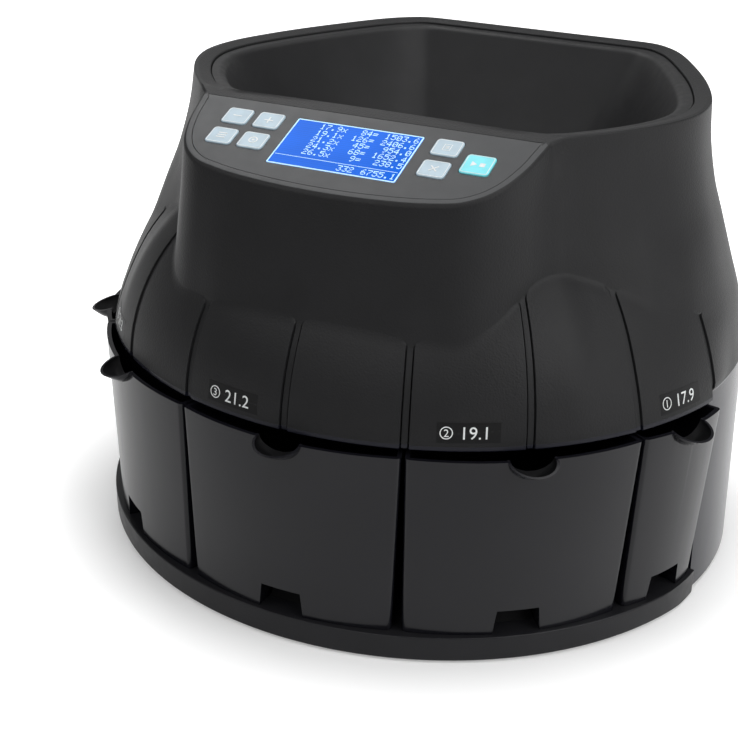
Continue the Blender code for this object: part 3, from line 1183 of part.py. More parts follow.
def main():
    clear_scene()
    black = material("matte_black_shell", (0.022, 0.022, 0.024), 0.55)
    cup_black = material("gloss_black_cups", (0.012, 0.012, 0.014), 0.22)
    base_black = material("base_black", (0.030, 0.030, 0.032), 0.45)
    satin = material("panel_satin", (0.060, 0.060, 0.064), 0.40)
    glass = material("display_blue", (0.05, 0.32, 0.90), 0.15)
    key_grey = material("key_grey", (0.62, 0.68, 0.72), 0.45)
    key_blue = material("key_blue", (0.12, 0.66, 0.80), 0.45)
    rubber = material("foot_rubber", (0.02, 0.02, 0.02), 0.85)
    zinc = material("zinc_plate", (0.62, 0.62, 0.60), 0.35, 0.9)
    steel = material("steel", (0.55, 0.55, 0.56), 0.30, 1.0)
    brass = material("brass", (0.72, 0.55, 0.25), 0.35, 1.0)
    board_green = material("board_green", (0.03, 0.20, 0.08), 0.50)

    axis = empty("machine_axis", (0.0, AXIS_SETBACK, 0.0))
    panel = make_panel_frame(axis)
    make_base(axis, base_black, rubber, steel)
    make_core(axis, base_black)
    for number, (azimuth, half_angle) in enumerate(zip(CUP_AZIMUTHS, CUP_HALF_ANGLES), 1):
        make_cup(axis, number, azimuth, half_angle, cup_black)
    make_casing(axis, panel, black)
    make_bowl(axis, black)
    make_sorting_plate(axis, zinc, base_black)
    make_feed_disc(axis, zinc, steel, base_black)
    make_bearings(axis, brass)
    make_drive(axis, steel, brass, base_black)
    make_electronics(axis, board_green, steel, base_black)
    make_control_panel(panel, satin, glass, board_green, key_grey, key_blue, base_black)
    make_rear(axis, base_black, cup_black, steel, brass)


main()
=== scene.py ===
"""Looks of a countertop coin sorting machine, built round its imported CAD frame.

Metres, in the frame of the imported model: +Z up, front at -Y. The round parts turn about an upright axis at
AXIS_Y, and azimuths are measured round it from the front, positive towards +X.
"""
import math

import bmesh
import bpy
from bpy.props import FloatProperty, FloatVectorProperty, PointerProperty
from bpy.types import Operator, Panel, PropertyGroup
from mathutils import Matrix, Vector


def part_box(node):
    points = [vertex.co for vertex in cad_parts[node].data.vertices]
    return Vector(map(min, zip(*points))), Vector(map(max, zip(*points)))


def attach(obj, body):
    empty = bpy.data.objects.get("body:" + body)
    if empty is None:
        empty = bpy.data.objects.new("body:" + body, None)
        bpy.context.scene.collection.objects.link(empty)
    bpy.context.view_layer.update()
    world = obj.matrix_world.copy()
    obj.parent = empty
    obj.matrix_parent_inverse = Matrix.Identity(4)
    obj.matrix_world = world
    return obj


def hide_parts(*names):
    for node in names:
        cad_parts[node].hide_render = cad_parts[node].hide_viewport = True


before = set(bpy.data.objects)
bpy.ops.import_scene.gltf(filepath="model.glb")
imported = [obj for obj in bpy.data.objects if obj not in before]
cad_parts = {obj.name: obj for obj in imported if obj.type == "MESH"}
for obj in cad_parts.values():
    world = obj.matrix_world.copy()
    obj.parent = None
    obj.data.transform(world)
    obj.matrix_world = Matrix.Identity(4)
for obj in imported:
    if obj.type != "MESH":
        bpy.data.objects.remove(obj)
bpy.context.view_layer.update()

bl_info = {
    "name": "Coin sorting machine",
    "version": (1, 0, 0),
    "blender": (4, 5, 0),
    "location": "View3D > Sidebar > Coin sorter",
    "description": "Casing, cups, panel and finishes of a countertop coin sorting machine",
    "category": "Object",
}


def middle_of(node):
    low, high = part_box(node)
    return (low + high) / 2


AXIS_Y = middle_of("feed_disc").y
SEAT_GAP = 0.0003
OVERRUN = 0.006
PANEL_ANGLE = math.radians(19.0)
GROOVE_SIDES = 4
BAY_ANGLE = math.radians(76.6)
SIDE_WALL_ANGLE = math.radians(66.0)
BULGE_END_ANGLE = math.radians(46.0)
LAST_GROOVE_ANGLE = GROOVE_SIDES * PANEL_ANGLE
CUP_AZIMUTHS = [panels * PANEL_ANGLE for panels in (3.5, 2.0, 0.0, -2.0, -3.5)]
CUP_HALF_ANGLES = [panels * PANEL_ANGLE for panels in (0.5, 1.0, 1.0, 1.0, 0.5)]
LABEL_AZIMUTHS = [panels * PANEL_ANGLE for panels in (3.5, 1.5, -0.5, -2.5, -3.5)]
SHARP_ANGLE = math.radians(32.0)

# Steps along curves, and the passes that spread the bends of the hopper's mouth
CUP_STEPS = 36
CREST_STEPS = 40
FOLD_STEPS = 6
LABEL_STEPS = 16
TURN_STEPS = 240
BAY_STEPS = 72
END_STEPS = 16
BOWL_STEPS = 360
BOWL_ROWS = 24
SCOOP_STEPS = 48
SCOOP_ROWS = 9
EVENING_PASSES = 24
EVENED_FROM = 0.07

# Small sizes of the casing and the bowl
RIM_INNER_ROUND = 0.0008
SLOT_FADE = 0.003
GROOVE_FADE = 0.002
PANEL_SLACK = 0.0006
BOWL_EDGE = 0.0004
BOWL_RIM_EDGE = 0.0005
BOWL_RIM_ROUND = 0.0035

# Small sizes of the cups and the base, whose cut for the bay reaches a little past its ends
SCOOP_TURN = math.radians(74.0)
CUP_EDGE = 0.0004
CUT_EDGE = 0.0004
TURN_PAST = 0.0003
RADIUS_PAST = 0.0003
BASE_EDGE = 0.0009
RAIL_START = 0.0815 + 0.003 + 0.0005
RAIL_SLOPE = 0.006
FOOT_PAD_RADIUS = 0.011
FOOT_PAD_HEIGHT = 0.004

# Small sizes of the panel, the printed marks, the labels, the power inlet and the floor
WINDOW_CORNER = 0.0008
KEY_FLANGE = 0.0007
MARK_HEIGHT = 0.00012
DOT_HEIGHT = 0.00006
DOT_SHARE = 0.88
DISPLAY_PITCH = 0.0006
DISPLAY_LINES = 7.1
LINE_DOTS = 8.6
DOT_WIDTH_SHARE = 0.83
LABEL_WIDTH = 0.032
LABEL_DEPTH = 0.0105
LABEL_HEIGHT = 0.1325
LABEL_MARGIN = 0.0048
LABEL_RING = 0.0033
LABEL_LIFT = 0.00001
SIGN_LIFT = 0.00013
NUMBER_SIZE = 0.0056
FIGURE_SIZE = 0.0092
FIGURE_HALF_HEIGHT = 0.00004
SOCKET_HALF_WIDTH = 0.0085
SOCKET_HALF_HEIGHT = 0.0062
SOCKET_FLOOR = 0.0019
SOCKET_RIM = 0.0005
FLOOR_SIDE = 16.0
FLOOR_THICKNESS = 0.02

# Soft lights: place, aim, width and height of each
LAMPS = {
    "left": ((-1.0, -1.2, 1.45), (0.0, 0.0, 0.14), 0.8, 0.8),
    "front": ((0.15, -1.7, 1.3), (0.0, 0.0, 0.14), 0.8, 0.8),
    "right": ((1.6, -0.45, 1.15), (0.0, 0.0, 0.14), 1.5, 1.4),
    "top": ((0.2, 0.35, 1.9), (0.0, 0.0, 0.1), 1.6, 1.6),
    "back": ((-0.8, 0.7, 1.35), (0.0, -0.05, 0.24), 0.6, 0.6),
}

# Lip of the control panel: half width as a share of the crest, reach as a share of crest to lip
LIP_SHARES = (
    (0.0, 1.0), (0.16, 0.995), (0.31, 0.98), (0.49, 0.95), (0.625, 0.91), (0.735, 0.86), (0.827, 0.76),
    (0.886, 0.645), (0.927, 0.52), (0.966, 0.33), (0.99, 0.12), (1.0, 0.0),
)
# Rim behind the crest: shares of the rim's half width, and of the crest's front or the rim's back
RIM_SHARES = (
    (0.734, -0.869), (0.850, -0.633), (0.948, -0.361), (0.999, -0.097), (0.997, 0.109), (0.954, 0.277),
    (0.877, 0.479), (0.770, 0.699), (0.683, 0.851), (0.612, 0.936), (0.529, 0.990), (0.40, 1.0),
    (0.20, 1.0), (0.0, 1.0),
)
# Flare of the body's side: share of the height above the crease, share of the way out to the skirt
FLARE_SHARES = (
    (0.0, 0.896), (0.19, 0.757), (0.355, 0.56), (0.518, 0.365), (0.674, 0.18), (0.87, 0.04), (1.0, 0.0),
)
# How far the wall under the lip runs out, by the share of the turn to the end of the bulge
DRAFT_SHARES = ((0.0, 1.0), (0.37, 0.763), (0.56, 0.522), (0.85, 0.58), (1.0, 0.821))
# How much of the wall is the body's side, by the share of the turn from there to the side wall
MIX_SHARES = ((0.0, 0.0), (0.18, 0.15), (0.82, 0.85), (1.0, 1.0))
# How far the dome's sides are drawn in and the walls over them swell, by the share of the turn to
# the last groove
DRAW_SHARES = ((0.0, 0.0), (0.58, 0.0), (0.68, 0.75), (0.75, 1.0), (1.0, 0.68))
SWELL_SHARES = ((0.0, 0.0), (0.78, 0.0), (0.9, 0.7), (1.0, 1.0), (1.08, 0.75), (1.25, 0.0))
# Fall of the bowl: share of its depth, share of the way in to its mouth
BOWL_SHARES = ((0.0, 0.0), (0.33, 0.38), (0.66, 0.72), (1.0, 1.0))
# Samples across half a groove, as shares of the half width of its mouth
GROOVE_SAMPLES = (0.0, 0.3, 0.5, 0.64, 0.70, 0.75, 0.80, 0.85, 0.90, 0.95, 1.0, 1.05, 1.12, 1.25, 1.45, 1.7,
                  2.0, 2.4, 2.9)
COIN_DIAMETERS = (17.9, 19.1, 21.2, 24.3, 26.5)
COIN_COUNTS = (84, 126, 45, 68, 9)
# Figures five dots wide and seven high: each number is a row, its five bits the dots from left to right
DOT_FIGURES = {
    "0": (14, 17, 19, 21, 25, 17, 14), "1": (4, 12, 4, 4, 4, 4, 14), "2": (14, 17, 1, 6, 8, 16, 31),
    "3": (31, 1, 2, 6, 1, 17, 14), "4": (2, 6, 10, 18, 31, 2, 2), "5": (31, 16, 30, 1, 1, 17, 14),
    "6": (6, 8, 16, 30, 17, 17, 14), "7": (31, 1, 2, 4, 8, 8, 8), "8": (14, 17, 17, 14, 17, 17, 14),
    "9": (14, 17, 17, 15, 1, 2, 12), ".": (0, 0, 0, 0, 0, 12, 12), "=": (0, 0, 31, 0, 31, 0, 0),
    "x": (0, 0, 17, 10, 4, 10, 17), " ": (0, 0, 0, 0, 0, 0, 0),
}


def length(name, description, value):
    return FloatProperty(name=name, description=description, default=value, subtype="DISTANCE", unit="LENGTH",
                         precision=5)


def angle(name, description, degrees):
    return FloatProperty(name=name, description=description, default=math.radians(degrees), subtype="ANGLE",
                         unit="ROTATION")


def share(name, description, value):
    return FloatProperty(name=name, description=description, default=value, subtype="FACTOR",
                         min=0.0, max=1.0)


def amount(name, description, value):
    return FloatProperty(name=name, description=description, default=value, min=0.0)


def colour(name, description, value):
    return FloatVectorProperty(name=name, description=description, default=value, subtype="COLOR", size=3,
                               min=0.0, max=1.0)


class SorterCasingSizes(PropertyGroup):
    """Sizes of the dome, the hopper walls, the rear body, the rim and the bowl."""
    wall: length("Wall", "Thickness of the casing", 0.003)
    dome_edge: length("Dome edge height", "Height of the dome's lower edge", 0.1222)
    dome_edge_radius: length("Dome edge radius", "Radius of the dome's lower edge", 0.1905)
    dome_arc: length("Dome arc", "Radius of the dome's section", 0.103)
    dome_arc_height: length("Dome arc height", "Height of the centre of the dome's section", 0.120)
    side_draw: length("Side draw", "How far the dome's sides are drawn in", 0.0055)
    draw_height: length("Draw height", "Height over which they are drawn in", 0.045)
    side_swell: length("Side swell", "How far the walls above the dome's sides swell", 0.002)
    fold_angle: angle("Fold angle", "Turn over which the fold beside the bulge is rounded", 9.0)
    fold_fade: length("Fold fade", "Depth under the lip at which that rounding is full", 0.03)
    shoulder_drop: length("Shoulder drop", "Drop from the dome to the body beside its last groove", 0.0004)
    shoulder_rise: length("Shoulder rise", "Height over which that shoulder grows out of the body", 0.008)
    shoulder_angle: angle("Shoulder angle", "Turn over which that shoulder runs out into the body", 12.0)
    body_crease: length("Body crease", "Height of the crease round the rear body", 0.125)
    skirt_radius: length("Skirt radius", "Radius of the rear body's skirt", 0.1892)
    foot: length("Casing foot", "Height of the skirt's lower edge", 0.0022)
    groove_width: length("Groove width", "Width of the dome's grooves at their mouth", 0.0049)
    groove_depth: length("Groove depth", "Depth of the dome's grooves", 0.0010)
    slot_width: length("Slot width", "Width of the fine slots beside a groove's floor", 0.0009)
    slot_depth: length("Slot depth", "Depth of the fine slots under a groove's floor", 0.0016)
    panel_corner: length("Dome panel corner", "Rounding of the dome panels' upper corners", 0.0022)
    crease_fillet: length("Crease fillet", "Size of the fillet between dome and hopper wall", 0.0018)
    edge_round: length("Edge round", "Rounding of the dome's lower edge", 0.0009)
    rim_height: length("Rim height", "Height of the hopper's rim", 0.266)
    rim_half_width: length("Rim half width", "Half the width of the hopper's rim", 0.1502)
    rim_back: length("Rim back", "Distance from the axis to the back of the rim", 0.162)
    rim_width: length("Rim width", "Width of the rim's level top", 0.0095)
    rim_round: length("Rim round", "Rounding of the rim's outer edge", 0.0013)
    rim_fall: length("Rim fall", "How far the rim's top falls towards the bowl", 0.0015)
    crest_round: length("Crest round", "Rounding of the panel's upper edge", 0.0045)
    crest_half_width: length("Crest half width", "Half the width of the panel's upper edge", 0.0988)
    crest_corner: length("Crest corner", "Reach of the rounding at the ends of the panel's upper edge", 0.020)
    crest_front: length("Crest front", "Distance from the axis to the panel's upper edge", 0.0988)
    crest_drop: length("Crest drop", "Depth of the panel's upper edge under the rim", 0.0024)
    lip_front: length("Lip front", "Distance from the axis to the panel's lip", 0.1607)
    lip_round: length("Lip round", "Rounding of the panel's lip", 0.0021)
    hopper_run: length("Hopper run", "How far the wall under the lip runs out on its way down", 0.0298)
    tilt: angle("Panel tilt", "Slope of the control panel", 21.85)
    panel_wall: length("Panel wall", "Thickness of the wall under the panel", 0.005)
    ledge_drop: length("Ledge drop", "Depth of the bowl's ledge under the rim", 0.0055)
    ledge_width: length("Ledge width", "Width of the bowl's ledge", 0.005)
    ledge_thickness: length("Ledge thickness", "Thickness of the bowl's ledge", 0.0025)
    bowl_wall: length("Bowl wall", "Thickness of the hopper bowl", 0.0022)
    bowl_flange: length("Bowl flange", "Thickness of the bowl's flange", 0.0025)
    bowl_inset: length("Bowl inset", "Width of the bowl's flange inside the rim", 0.0075)
    bowl_mouth: length("Bowl mouth", "Radius of the bowl's lower mouth", 0.080)
    rear_half_width: length("Rear half width", "Half the width of the recess at the back", 0.054)
    rear_low: length("Rear low", "Height of the recess's lower edge", 0.030)
    rear_high: length("Rear high", "Height of the recess's upper edge", 0.066)


class SorterCupSizes(PropertyGroup):
    """Sizes of the coin cups and of the round base under them."""
    top: length("Cup top", "Height of the cups' upper edge", 0.1193)
    top_radius: length("Cup top radius", "Radius of the cups' fronts at the top", 0.1969)
    foot_radius: length("Cup foot radius", "Radius of the cups' fronts at the foot", 0.1915)
    inner_radius: length("Cup inner radius", "Radius of the cups' backs", 0.0875)
    flattening: length("Flattening", "How far the cups' fronts flatten towards their corners", 0.002)
    wall: length("Cup wall", "Thickness of the cups' walls", 0.0022)
    side_gap: length("Side gap", "Gap beside a cup at the top", 0.0009)
    foot_gap: length("Foot gap", "Gap beside a cup at the foot", 0.0027)
    corner: length("Cup corner", "Rounding of the cups' upright corners", 0.0025)
    scoop_width: length("Scoop width", "Width of the finger scoops", 0.0262)
    scoop_reach: length("Scoop reach", "How far the finger scoops stand out", 0.0112)
    scoop_depth: length("Scoop depth", "Depth of the finger scoops", 0.0085)
    scoop_taper: share("Scoop taper", "How far the scoops narrow towards their foot", 0.80)
    scoop_wall: length("Scoop wall", "Thickness of the finger scoops", 0.0014)
    scoop_fall: length("Scoop fall", "How far the scoops' rims fall outwards", 0.0036)
    rail_foot: length("Rail foot", "Width of the guide rails at the foot", 0.025)
    rail_top: length("Rail top", "Width of the guide rails at the top", 0.0205)
    rail_height: length("Rail height", "Height of the guide rails", 0.013)
    rail_end: length("Rail end", "Distance from the axis to the rails' front ends", 0.181)
    guide_gap: length("Guide gap", "Clearance between a cup and its rail", 0.0012)
    deck: length("Deck height", "Height of the deck that the cups slide on", 0.0158)
    base_radius: length("Base radius", "Radius of the base at the deck", 0.1942)
    base_foot_radius: length("Base foot radius", "Radius of the base at its foot", 0.1936)
    base_wall: length("Base wall", "Thickness of the base", 0.003)
    base_lift: length("Base lift", "Height of the base's lower edge", 0.0015)
    end_taper: angle("End taper", "Turn over which the base's ends taper into the skirt", 15.0)
    end_depth: length("End depth", "How far the base's ends have drawn in where they meet the skirt", 0.0034)
    deck_edge: length("Deck edge", "Radius of the deck behind the cups", 0.1853)


class SorterPanelSizes(PropertyGroup):
    """Sizes of the control panel, its display and its keys, across (u) and down (v) the slope."""
    inset: length("Plate inset", "Distance from the panel's lip to its plate", 0.0042)
    top_margin: length("Top margin", "Distance from the crest to the plate", 0.0012)
    plate: length("Plate thickness", "Thickness of the plate", 0.0024)
    ledge: length("Plate ledge", "Width of the ledge that carries the plate", 0.0045)
    window_width: length("Window width", "Width of the display", 0.0712)
    window_depth: length("Window depth", "Depth of the display down the slope", 0.0386)
    window_v: length("Window place", "Middle of the display, down from the crest", 0.0300)
    border: length("Border", "Width of the pale border round the display", 0.0007)
    key_width: length("Key width", "Width of a grey key", 0.0149)
    key_depth: length("Key depth", "Depth of a grey key", 0.0133)
    start_side: length("Start key side", "Side of the blue key", 0.0154)
    key_corner: length("Key corner", "Rounding of the keys' corners", 0.0022)
    key_proud: length("Key proud", "How far the keys stand out", 0.0007)
    key_foot: length("Key foot", "Depth of the keys' flanges under the panel", 0.0037)


class SorterColours(PropertyGroup):
    """Colours of the machine's finishes."""
    casing: colour("Casing", "Matte grained casing", (0.0120, 0.0121, 0.0130))
    skirt: colour("Skirt", "Glossy skirt of the rear body", (0.0115, 0.0120, 0.0190))
    cup: colour("Cups", "Glossy cups", (0.0060, 0.0060, 0.0085))
    base: colour("Base", "Satin base", (0.0130, 0.0130, 0.0150))
    # The panel's lighter grey is partly its own satin grey and partly painted sheen, the light it catches
    # from the upper left
    panel: colour("Panel", "Satin control panel", (0.0480, 0.0495, 0.0520))
    # The rail colour is painted shade: darker than the base and the cups, it darkens the rails in the cups'
    # notches and the scoops' insides, where shade falls
    rail: colour("Rails", "Guide rails under the cups, and the scoops' insides", (0.0040, 0.0040, 0.0045))
    dark: colour("Inner plastic", "Plastic parts inside", (0.0130, 0.0130, 0.0140))
    label: colour("Labels", "Black of the number labels", (0.0060, 0.0060, 0.0065))
    display: colour("Display", "Lit display", (0.0, 0.1500, 0.8500))
    figures: colour("Figures", "Figures and lines on the display", (0.4600, 0.7400, 0.9500))
    key: colour("Keys", "Grey keys", (0.4300, 0.5500, 0.6300))
    start: colour("Start key", "Blue key", (0.1900, 0.7600, 0.8400))
    mark: colour("Marks", "Printed marks and borders", (0.7800, 0.8000, 0.8000))
    zinc: colour("Zinc", "Disc and sorting plate", (0.5600, 0.5600, 0.5500))
    steel: colour("Steel", "Steel parts", (0.5400, 0.5400, 0.5500))
    brass: colour("Brass", "Bushes and contacts", (0.7000, 0.5200, 0.2300))
    board: colour("Board", "Circuit boards", (0.0150, 0.1300, 0.0500))
    rubber: colour("Rubber", "Feet", (0.0180, 0.0180, 0.0180))


class SorterStage(PropertyGroup):
    """Camera, light and floor."""
    lens: FloatProperty(name="Lens", description="Focal length of the camera", default=71.79,
                        subtype="DISTANCE_CAMERA", unit="CAMERA")
    distance_x: length("Camera right", "Camera's place to the right", 0.31469)
    distance_y: length("Camera front", "How far the camera stands in front", 0.76557)
    height: length("Camera height", "Camera's height", 0.45135)
    heading: angle("Heading", "Turn of the camera about the upright", 24.65)
    pitch: angle("Pitch", "How far the camera looks down", 23.71)
    roll: angle("Roll", "Turn of the camera about its own line of sight", 1.89)
    floor_colour: colour("Floor", "Colour of the floor", (0.80, 0.80, 0.80))
    left_light: amount("Left light", "Power of the soft light on the left, in watts", 7.0)
    front_light: amount("Front light", "Power of the soft light in front, in watts", 7.0)
    right_light: amount("Right light", "Power of the soft light on the right, in watts", 20.0)
    top_light: amount("Top light", "Power of the soft light above, in watts", 19.0)
    back_light: amount("Back light", "Power of the soft light behind, in watts", 5.0)
    backdrop: share("Backdrop", "Brightness of the backdrop in reflections", 0.5)
    sky: amount("Sky", "Strength of the even light from all round", 0.05)


GROUPS = {"casing": SorterCasingSizes, "cups": SorterCupSizes, "panel": SorterPanelSizes,
          "colours": SorterColours, "stage": SorterStage}


def sizes(group):
    """The property group of the scene that holds the sizes or colours of that name."""
    return getattr(bpy.context.scene, f"sorter_{group}")


# Curves and tables

def eased(table, place, flat_start=False, flat_end=False):
    """Reads a table of pairs on a smooth curve that doesn't overshoot."""
    xs = [x for x, _ in table]
    ys = [y for _, y in table]
    place = min(max(place, xs[0]), xs[-1])
    i = next(j for j in range(len(xs) - 1) if place <= xs[j + 1])
    steep = [(ys[j + 1] - ys[j]) / (xs[j + 1] - xs[j]) for j in range(len(xs) - 1)]

    def slope(j):
        if j == 0:
            return 0.0 if flat_start else steep[0]
        if j == len(xs) - 1:
            return 0.0 if flat_end else steep[-1]
        a, b = steep[j - 1], steep[j]
        return 0.0 if a * b <= 0.0 else 2 * a * b / (a + b)

    span = xs[i + 1] - xs[i]
    t = (place - xs[i]) / span
    rise = slope(i) * span * (t - 2 * t**2 + t**3) + slope(i + 1) * span * (t**3 - t**2)
    return ys[i] * (1 - 3 * t**2 + 2 * t**3) + ys[i + 1] * (3 * t**2 - 2 * t**3) + rise


def ramp(low, high, value):
    t = min(max((value - low) / (high - low), 0.0), 1.0)
    return t * t * (3 - 2 * t)


def smooth_max(a, b, blend):
    """The larger of two numbers, with the corner where they cross filled in."""
    near = max(blend - abs(a - b), 0.0)
    return max(a, b) + near * near / (4 * blend)


def smooth_curve(points, steps=24, mirrored=False):
    """Points on a Catmull-Rom curve through the given points, level at a start that is mirrored in x."""
    curve = []
    before = (-points[1][0], points[1][1]) if mirrored else points[0]
    for i in range(len(points) - 1):
        a = Vector(points[i - 1] if i else before)
        b = Vector(points[i])
        c = Vector(points[i + 1])
        d = Vector(points[min(i + 2, len(points) - 1)])
        for step in range(steps):
            t = step / steps
            curve.append(tuple(0.5 * (2 * b + (c - a) * t + (2 * a - 5 * b + 4 * c - d) * t**2
                                      + (3 * b - a - 3 * c + d) * t**3)))
    return curve + [tuple(points[-1])]


def inset_curve(curve, distance):
    """The half outline moved inwards by a distance."""
    inner = []
    for i, point in enumerate(curve):
        along = Vector(curve[min(i + 1, len(curve) - 1)]) - Vector(curve[max(i - 1, 0)])
        inward = Vector((-along.y, along.x)).normalized()
        spot = Vector(point) + inward * distance
        inner.append((max(spot.x, 0.0), spot.y))
    inner[0] = (0.0, curve[0][1] + distance)
    inner[-1] = (0.0, curve[-1][1] - distance)
    return inner


def evened(curve):
    """The half outline with its bends spread a little behind the front."""
    points = [Vector(p) for p in curve]
    for _ in range(EVENING_PASSES):
        for i in range(2, len(points) - 1):
            if points[i].x > EVENED_FROM:
                points[i] = points[i] * 0.5 + (points[i - 1] + points[i + 1]) * 0.25
    return [tuple(p) for p in points]


class Outline:
    """A half outline from the front to the back, read as a distance from the axis at an azimuth."""

    def __init__(self, points):
        pairs = sorted((math.atan2(x, -y), math.hypot(x, y)) for x, y in points)
        self.angles = [a for a, _ in pairs]
        self.radii = [r for _, r in pairs]

    def radius(self, azimuth):
        low, high = 0, len(self.angles) - 1
        if azimuth >= self.angles[high]:
            return self.radii[high]
        while high - low > 1:
            middle = (low + high) // 2
            low, high = (middle, high) if self.angles[middle] <= azimuth else (low, middle)
        span = self.angles[high] - self.angles[low]
        t = (azimuth - self.angles[low]) / span if span > 0.0 else 0.0
        return self.radii[low] + (self.radii[high] - self.radii[low]) * t


def polar(radius, azimuth, z):
    return Vector((radius * math.sin(azimuth), AXIS_Y - radius * math.cos(azimuth), z))


def at_height(outline, z):
    return [Vector((x, y, z)) for x, y in outline]


def circle(radius, steps, centre=(0.0, 0.0)):
    turns = [2 * math.pi * i / steps for i in range(steps)]
    return [(centre[0] + radius * math.cos(t), centre[1] + radius * math.sin(t)) for t in turns]


def rectangle(width, height, centre=(0.0, 0.0)):
    x, y = width / 2, height / 2
    return [(centre[0] + a * x, centre[1] + b * y) for a, b in ((-1, -1), (1, -1), (1, 1), (-1, 1))]


def trapezoid(low, high, half_foot, half_top):
    return [(-half_foot, low), (half_foot, low), (half_top, high), (-half_top, high)]


def fillet(outline, radius, steps=3, corners=None):
    """Rounds the corners of an outline, all of them or those listed."""
    rounded = []
    count = len(outline)
    for i, corner in enumerate(outline):
        here = Vector(corner)
        if corners is not None and i not in corners:
            rounded.append(tuple(here))
            continue
        back = (Vector(outline[i - 1]) - here).normalized()
        ahead = (Vector(outline[(i + 1) % count]) - here).normalized()
        half = back.angle(ahead) / 2
        reach = radius / math.tan(half)
        centre = here + (back + ahead).normalized() * radius / math.sin(half)
        start = here + back * reach - centre
        end = here + ahead * reach - centre
        for step in range(steps + 1):
            arm = start * (1 - step / steps) + end * step / steps
            rounded.append(tuple(centre + arm.normalized() * radius))
    return rounded


# Meshes

def mesh_from(name, build):
    """Makes a mesh from a function that fills a bmesh, with all faces turned outwards."""
    shape = bmesh.new()
    build(shape)
    bmesh.ops.recalc_face_normals(shape, faces=shape.faces)
    mesh = bpy.data.meshes.new(name)
    shape.to_mesh(mesh)
    shape.free()
    return mesh


def loft(name, loops, ring=False):
    """Faces between loops of points set one after another, closed by caps or by joining into a ring."""
    def build(shape):
        rows = [[shape.verts.new(point) for point in loop] for loop in loops]
        pairs = list(zip(rows, rows[1:])) + ([(rows[-1], rows[0])] if ring else [])
        for low, high in pairs:
            for i in range(len(low)):
                j = (i + 1) % len(low)
                shape.faces.new((low[i], low[j], high[j], high[i]))
        if not ring:
            shape.faces.new(rows[0])
            shape.faces.new(rows[-1])
    return mesh_from(name, build)


def prism(name, outline, low, high):
    return loft(name, [at_height(outline, low), at_height(outline, high)])


def turned(name, outline, steps):
    """A solid turned about the axis from a profile that starts and ends on it."""
    def build(shape):
        turns = [2 * math.pi * i / steps for i in range(steps)]
        rows = [[shape.verts.new(polar(r, turn, z)) for turn in turns] for r, z in outline[1:-1]]
        low = shape.verts.new(polar(0.0, 0.0, outline[0][1]))
        high = shape.verts.new(polar(0.0, 0.0, outline[-1][1]))
        for i in range(steps):
            j = (i + 1) % steps
            shape.faces.new((low, rows[0][j], rows[0][i]))
            shape.faces.new((high, rows[-1][i], rows[-1][j]))
            for here, there in zip(rows, rows[1:]):
                shape.faces.new((here[i], here[j], there[j], there[i]))
    return mesh_from(name, build)


def moved(mesh, matrix):
    mesh.transform(matrix)
    return mesh


def merged(name, meshes):
    """One mesh of several."""
    shape = bmesh.new()
    for mesh in meshes:
        shape.from_mesh(mesh)
    made = bpy.data.meshes.new(name)
    shape.to_mesh(made)
    shape.free()
    return made


def worked(mesh, *changes):
    """The mesh after a row of modifiers, each a type and its settings. A mesh among them cuts or joins."""
    scene = bpy.context.scene
    body = bpy.data.objects.new("work", mesh)
    scene.collection.objects.link(body)
    helpers = []
    for kind, settings in changes:
        change = body.modifiers.new(kind, kind)
        for key, value in settings.items():
            if isinstance(value, bpy.types.Mesh):
                value = bpy.data.objects.new("helper", value)
                scene.collection.objects.link(value)
                helpers.append(value)
            setattr(change, key, value)
    bpy.context.view_layer.update()
    made = bpy.data.meshes.new_from_object(body.evaluated_get(bpy.context.evaluated_depsgraph_get()))
    for thing in [body] + helpers:
        bpy.data.objects.remove(thing, do_unlink=True)
    return made


def cut(mesh):
    return "BOOLEAN", {"operation": "DIFFERENCE", "solver": "EXACT", "object": mesh}


def join(mesh):
    return "BOOLEAN", {"operation": "UNION", "solver": "EXACT", "object": mesh}


def eased_edges(width, segments=2, angle_limit=40.0):
    return "BEVEL", {"width": width, "segments": segments, "limit_method": "ANGLE",
                     "angle_limit": math.radians(angle_limit), "miter_outer": "MITER_ARC"}


def shaded(mesh):
    """Smooth shading that keeps large faces even and stops at sharp edges."""
    mesh.shade_smooth()
    mesh.set_sharp_from_angle(angle=SHARP_ANGLE)
    return worked(mesh, ("WEIGHTED_NORMAL", {"keep_sharp": True}))


def flat_parts(mesh):
    """Joins the triangles of flat faces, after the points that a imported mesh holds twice."""
    shape = bmesh.new()
    shape.from_mesh(mesh)
    bmesh.ops.remove_doubles(shape, verts=shape.verts, dist=1e-6)
    bmesh.ops.dissolve_limit(shape, angle_limit=math.radians(0.6), verts=shape.verts, edges=shape.edges)
    shape.to_mesh(mesh)
    shape.free()
    return mesh


def add_piece(name, mesh, finish, body, replaces=()):
    """A shown piece that rides on a body and stands for some of the CAD nodes."""
    thing = bpy.data.objects.new(name, mesh)
    bpy.context.scene.collection.objects.link(thing)
    mesh.materials.append(FINISHES[finish])
    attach(thing, body)
    if replaces:
        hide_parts(*replaces)
    return thing


def finished_node(node, name, finish, body, width=0.0004, segments=2):
    """A CAD node's own shape with its edges rounded."""
    mesh = flat_parts(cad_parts[node].data.copy())
    mesh.materials.clear()
    mesh = shaded(worked(mesh, eased_edges(width, segments)))
    return add_piece(name, mesh, finish, body, [node])


def paint_node(node, finish):
    """Gives a CAD node that stays shown its finish."""
    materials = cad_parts[node].data.materials
    materials.clear()
    materials.append(FINISHES[finish])


def paint_part(thing, finish, chosen):
    """Gives a second finish to the faces that are chosen by their middle and their normal."""
    thing.data.materials.append(FINISHES[finish])
    for face in thing.data.polygons:
        face.material_index = int(chosen(face.center, face.normal))


# Finishes

def add_node(tree, kind, links=None, **settings):
    made = tree.nodes.new(kind)
    for key, value in settings.items():
        setattr(made, key, value)
    for key, value in (links or {}).items():
        if isinstance(value, bpy.types.NodeSocket):
            tree.links.new(value, made.inputs[key])
        else:
            made.inputs[key].default_value = value
    return made


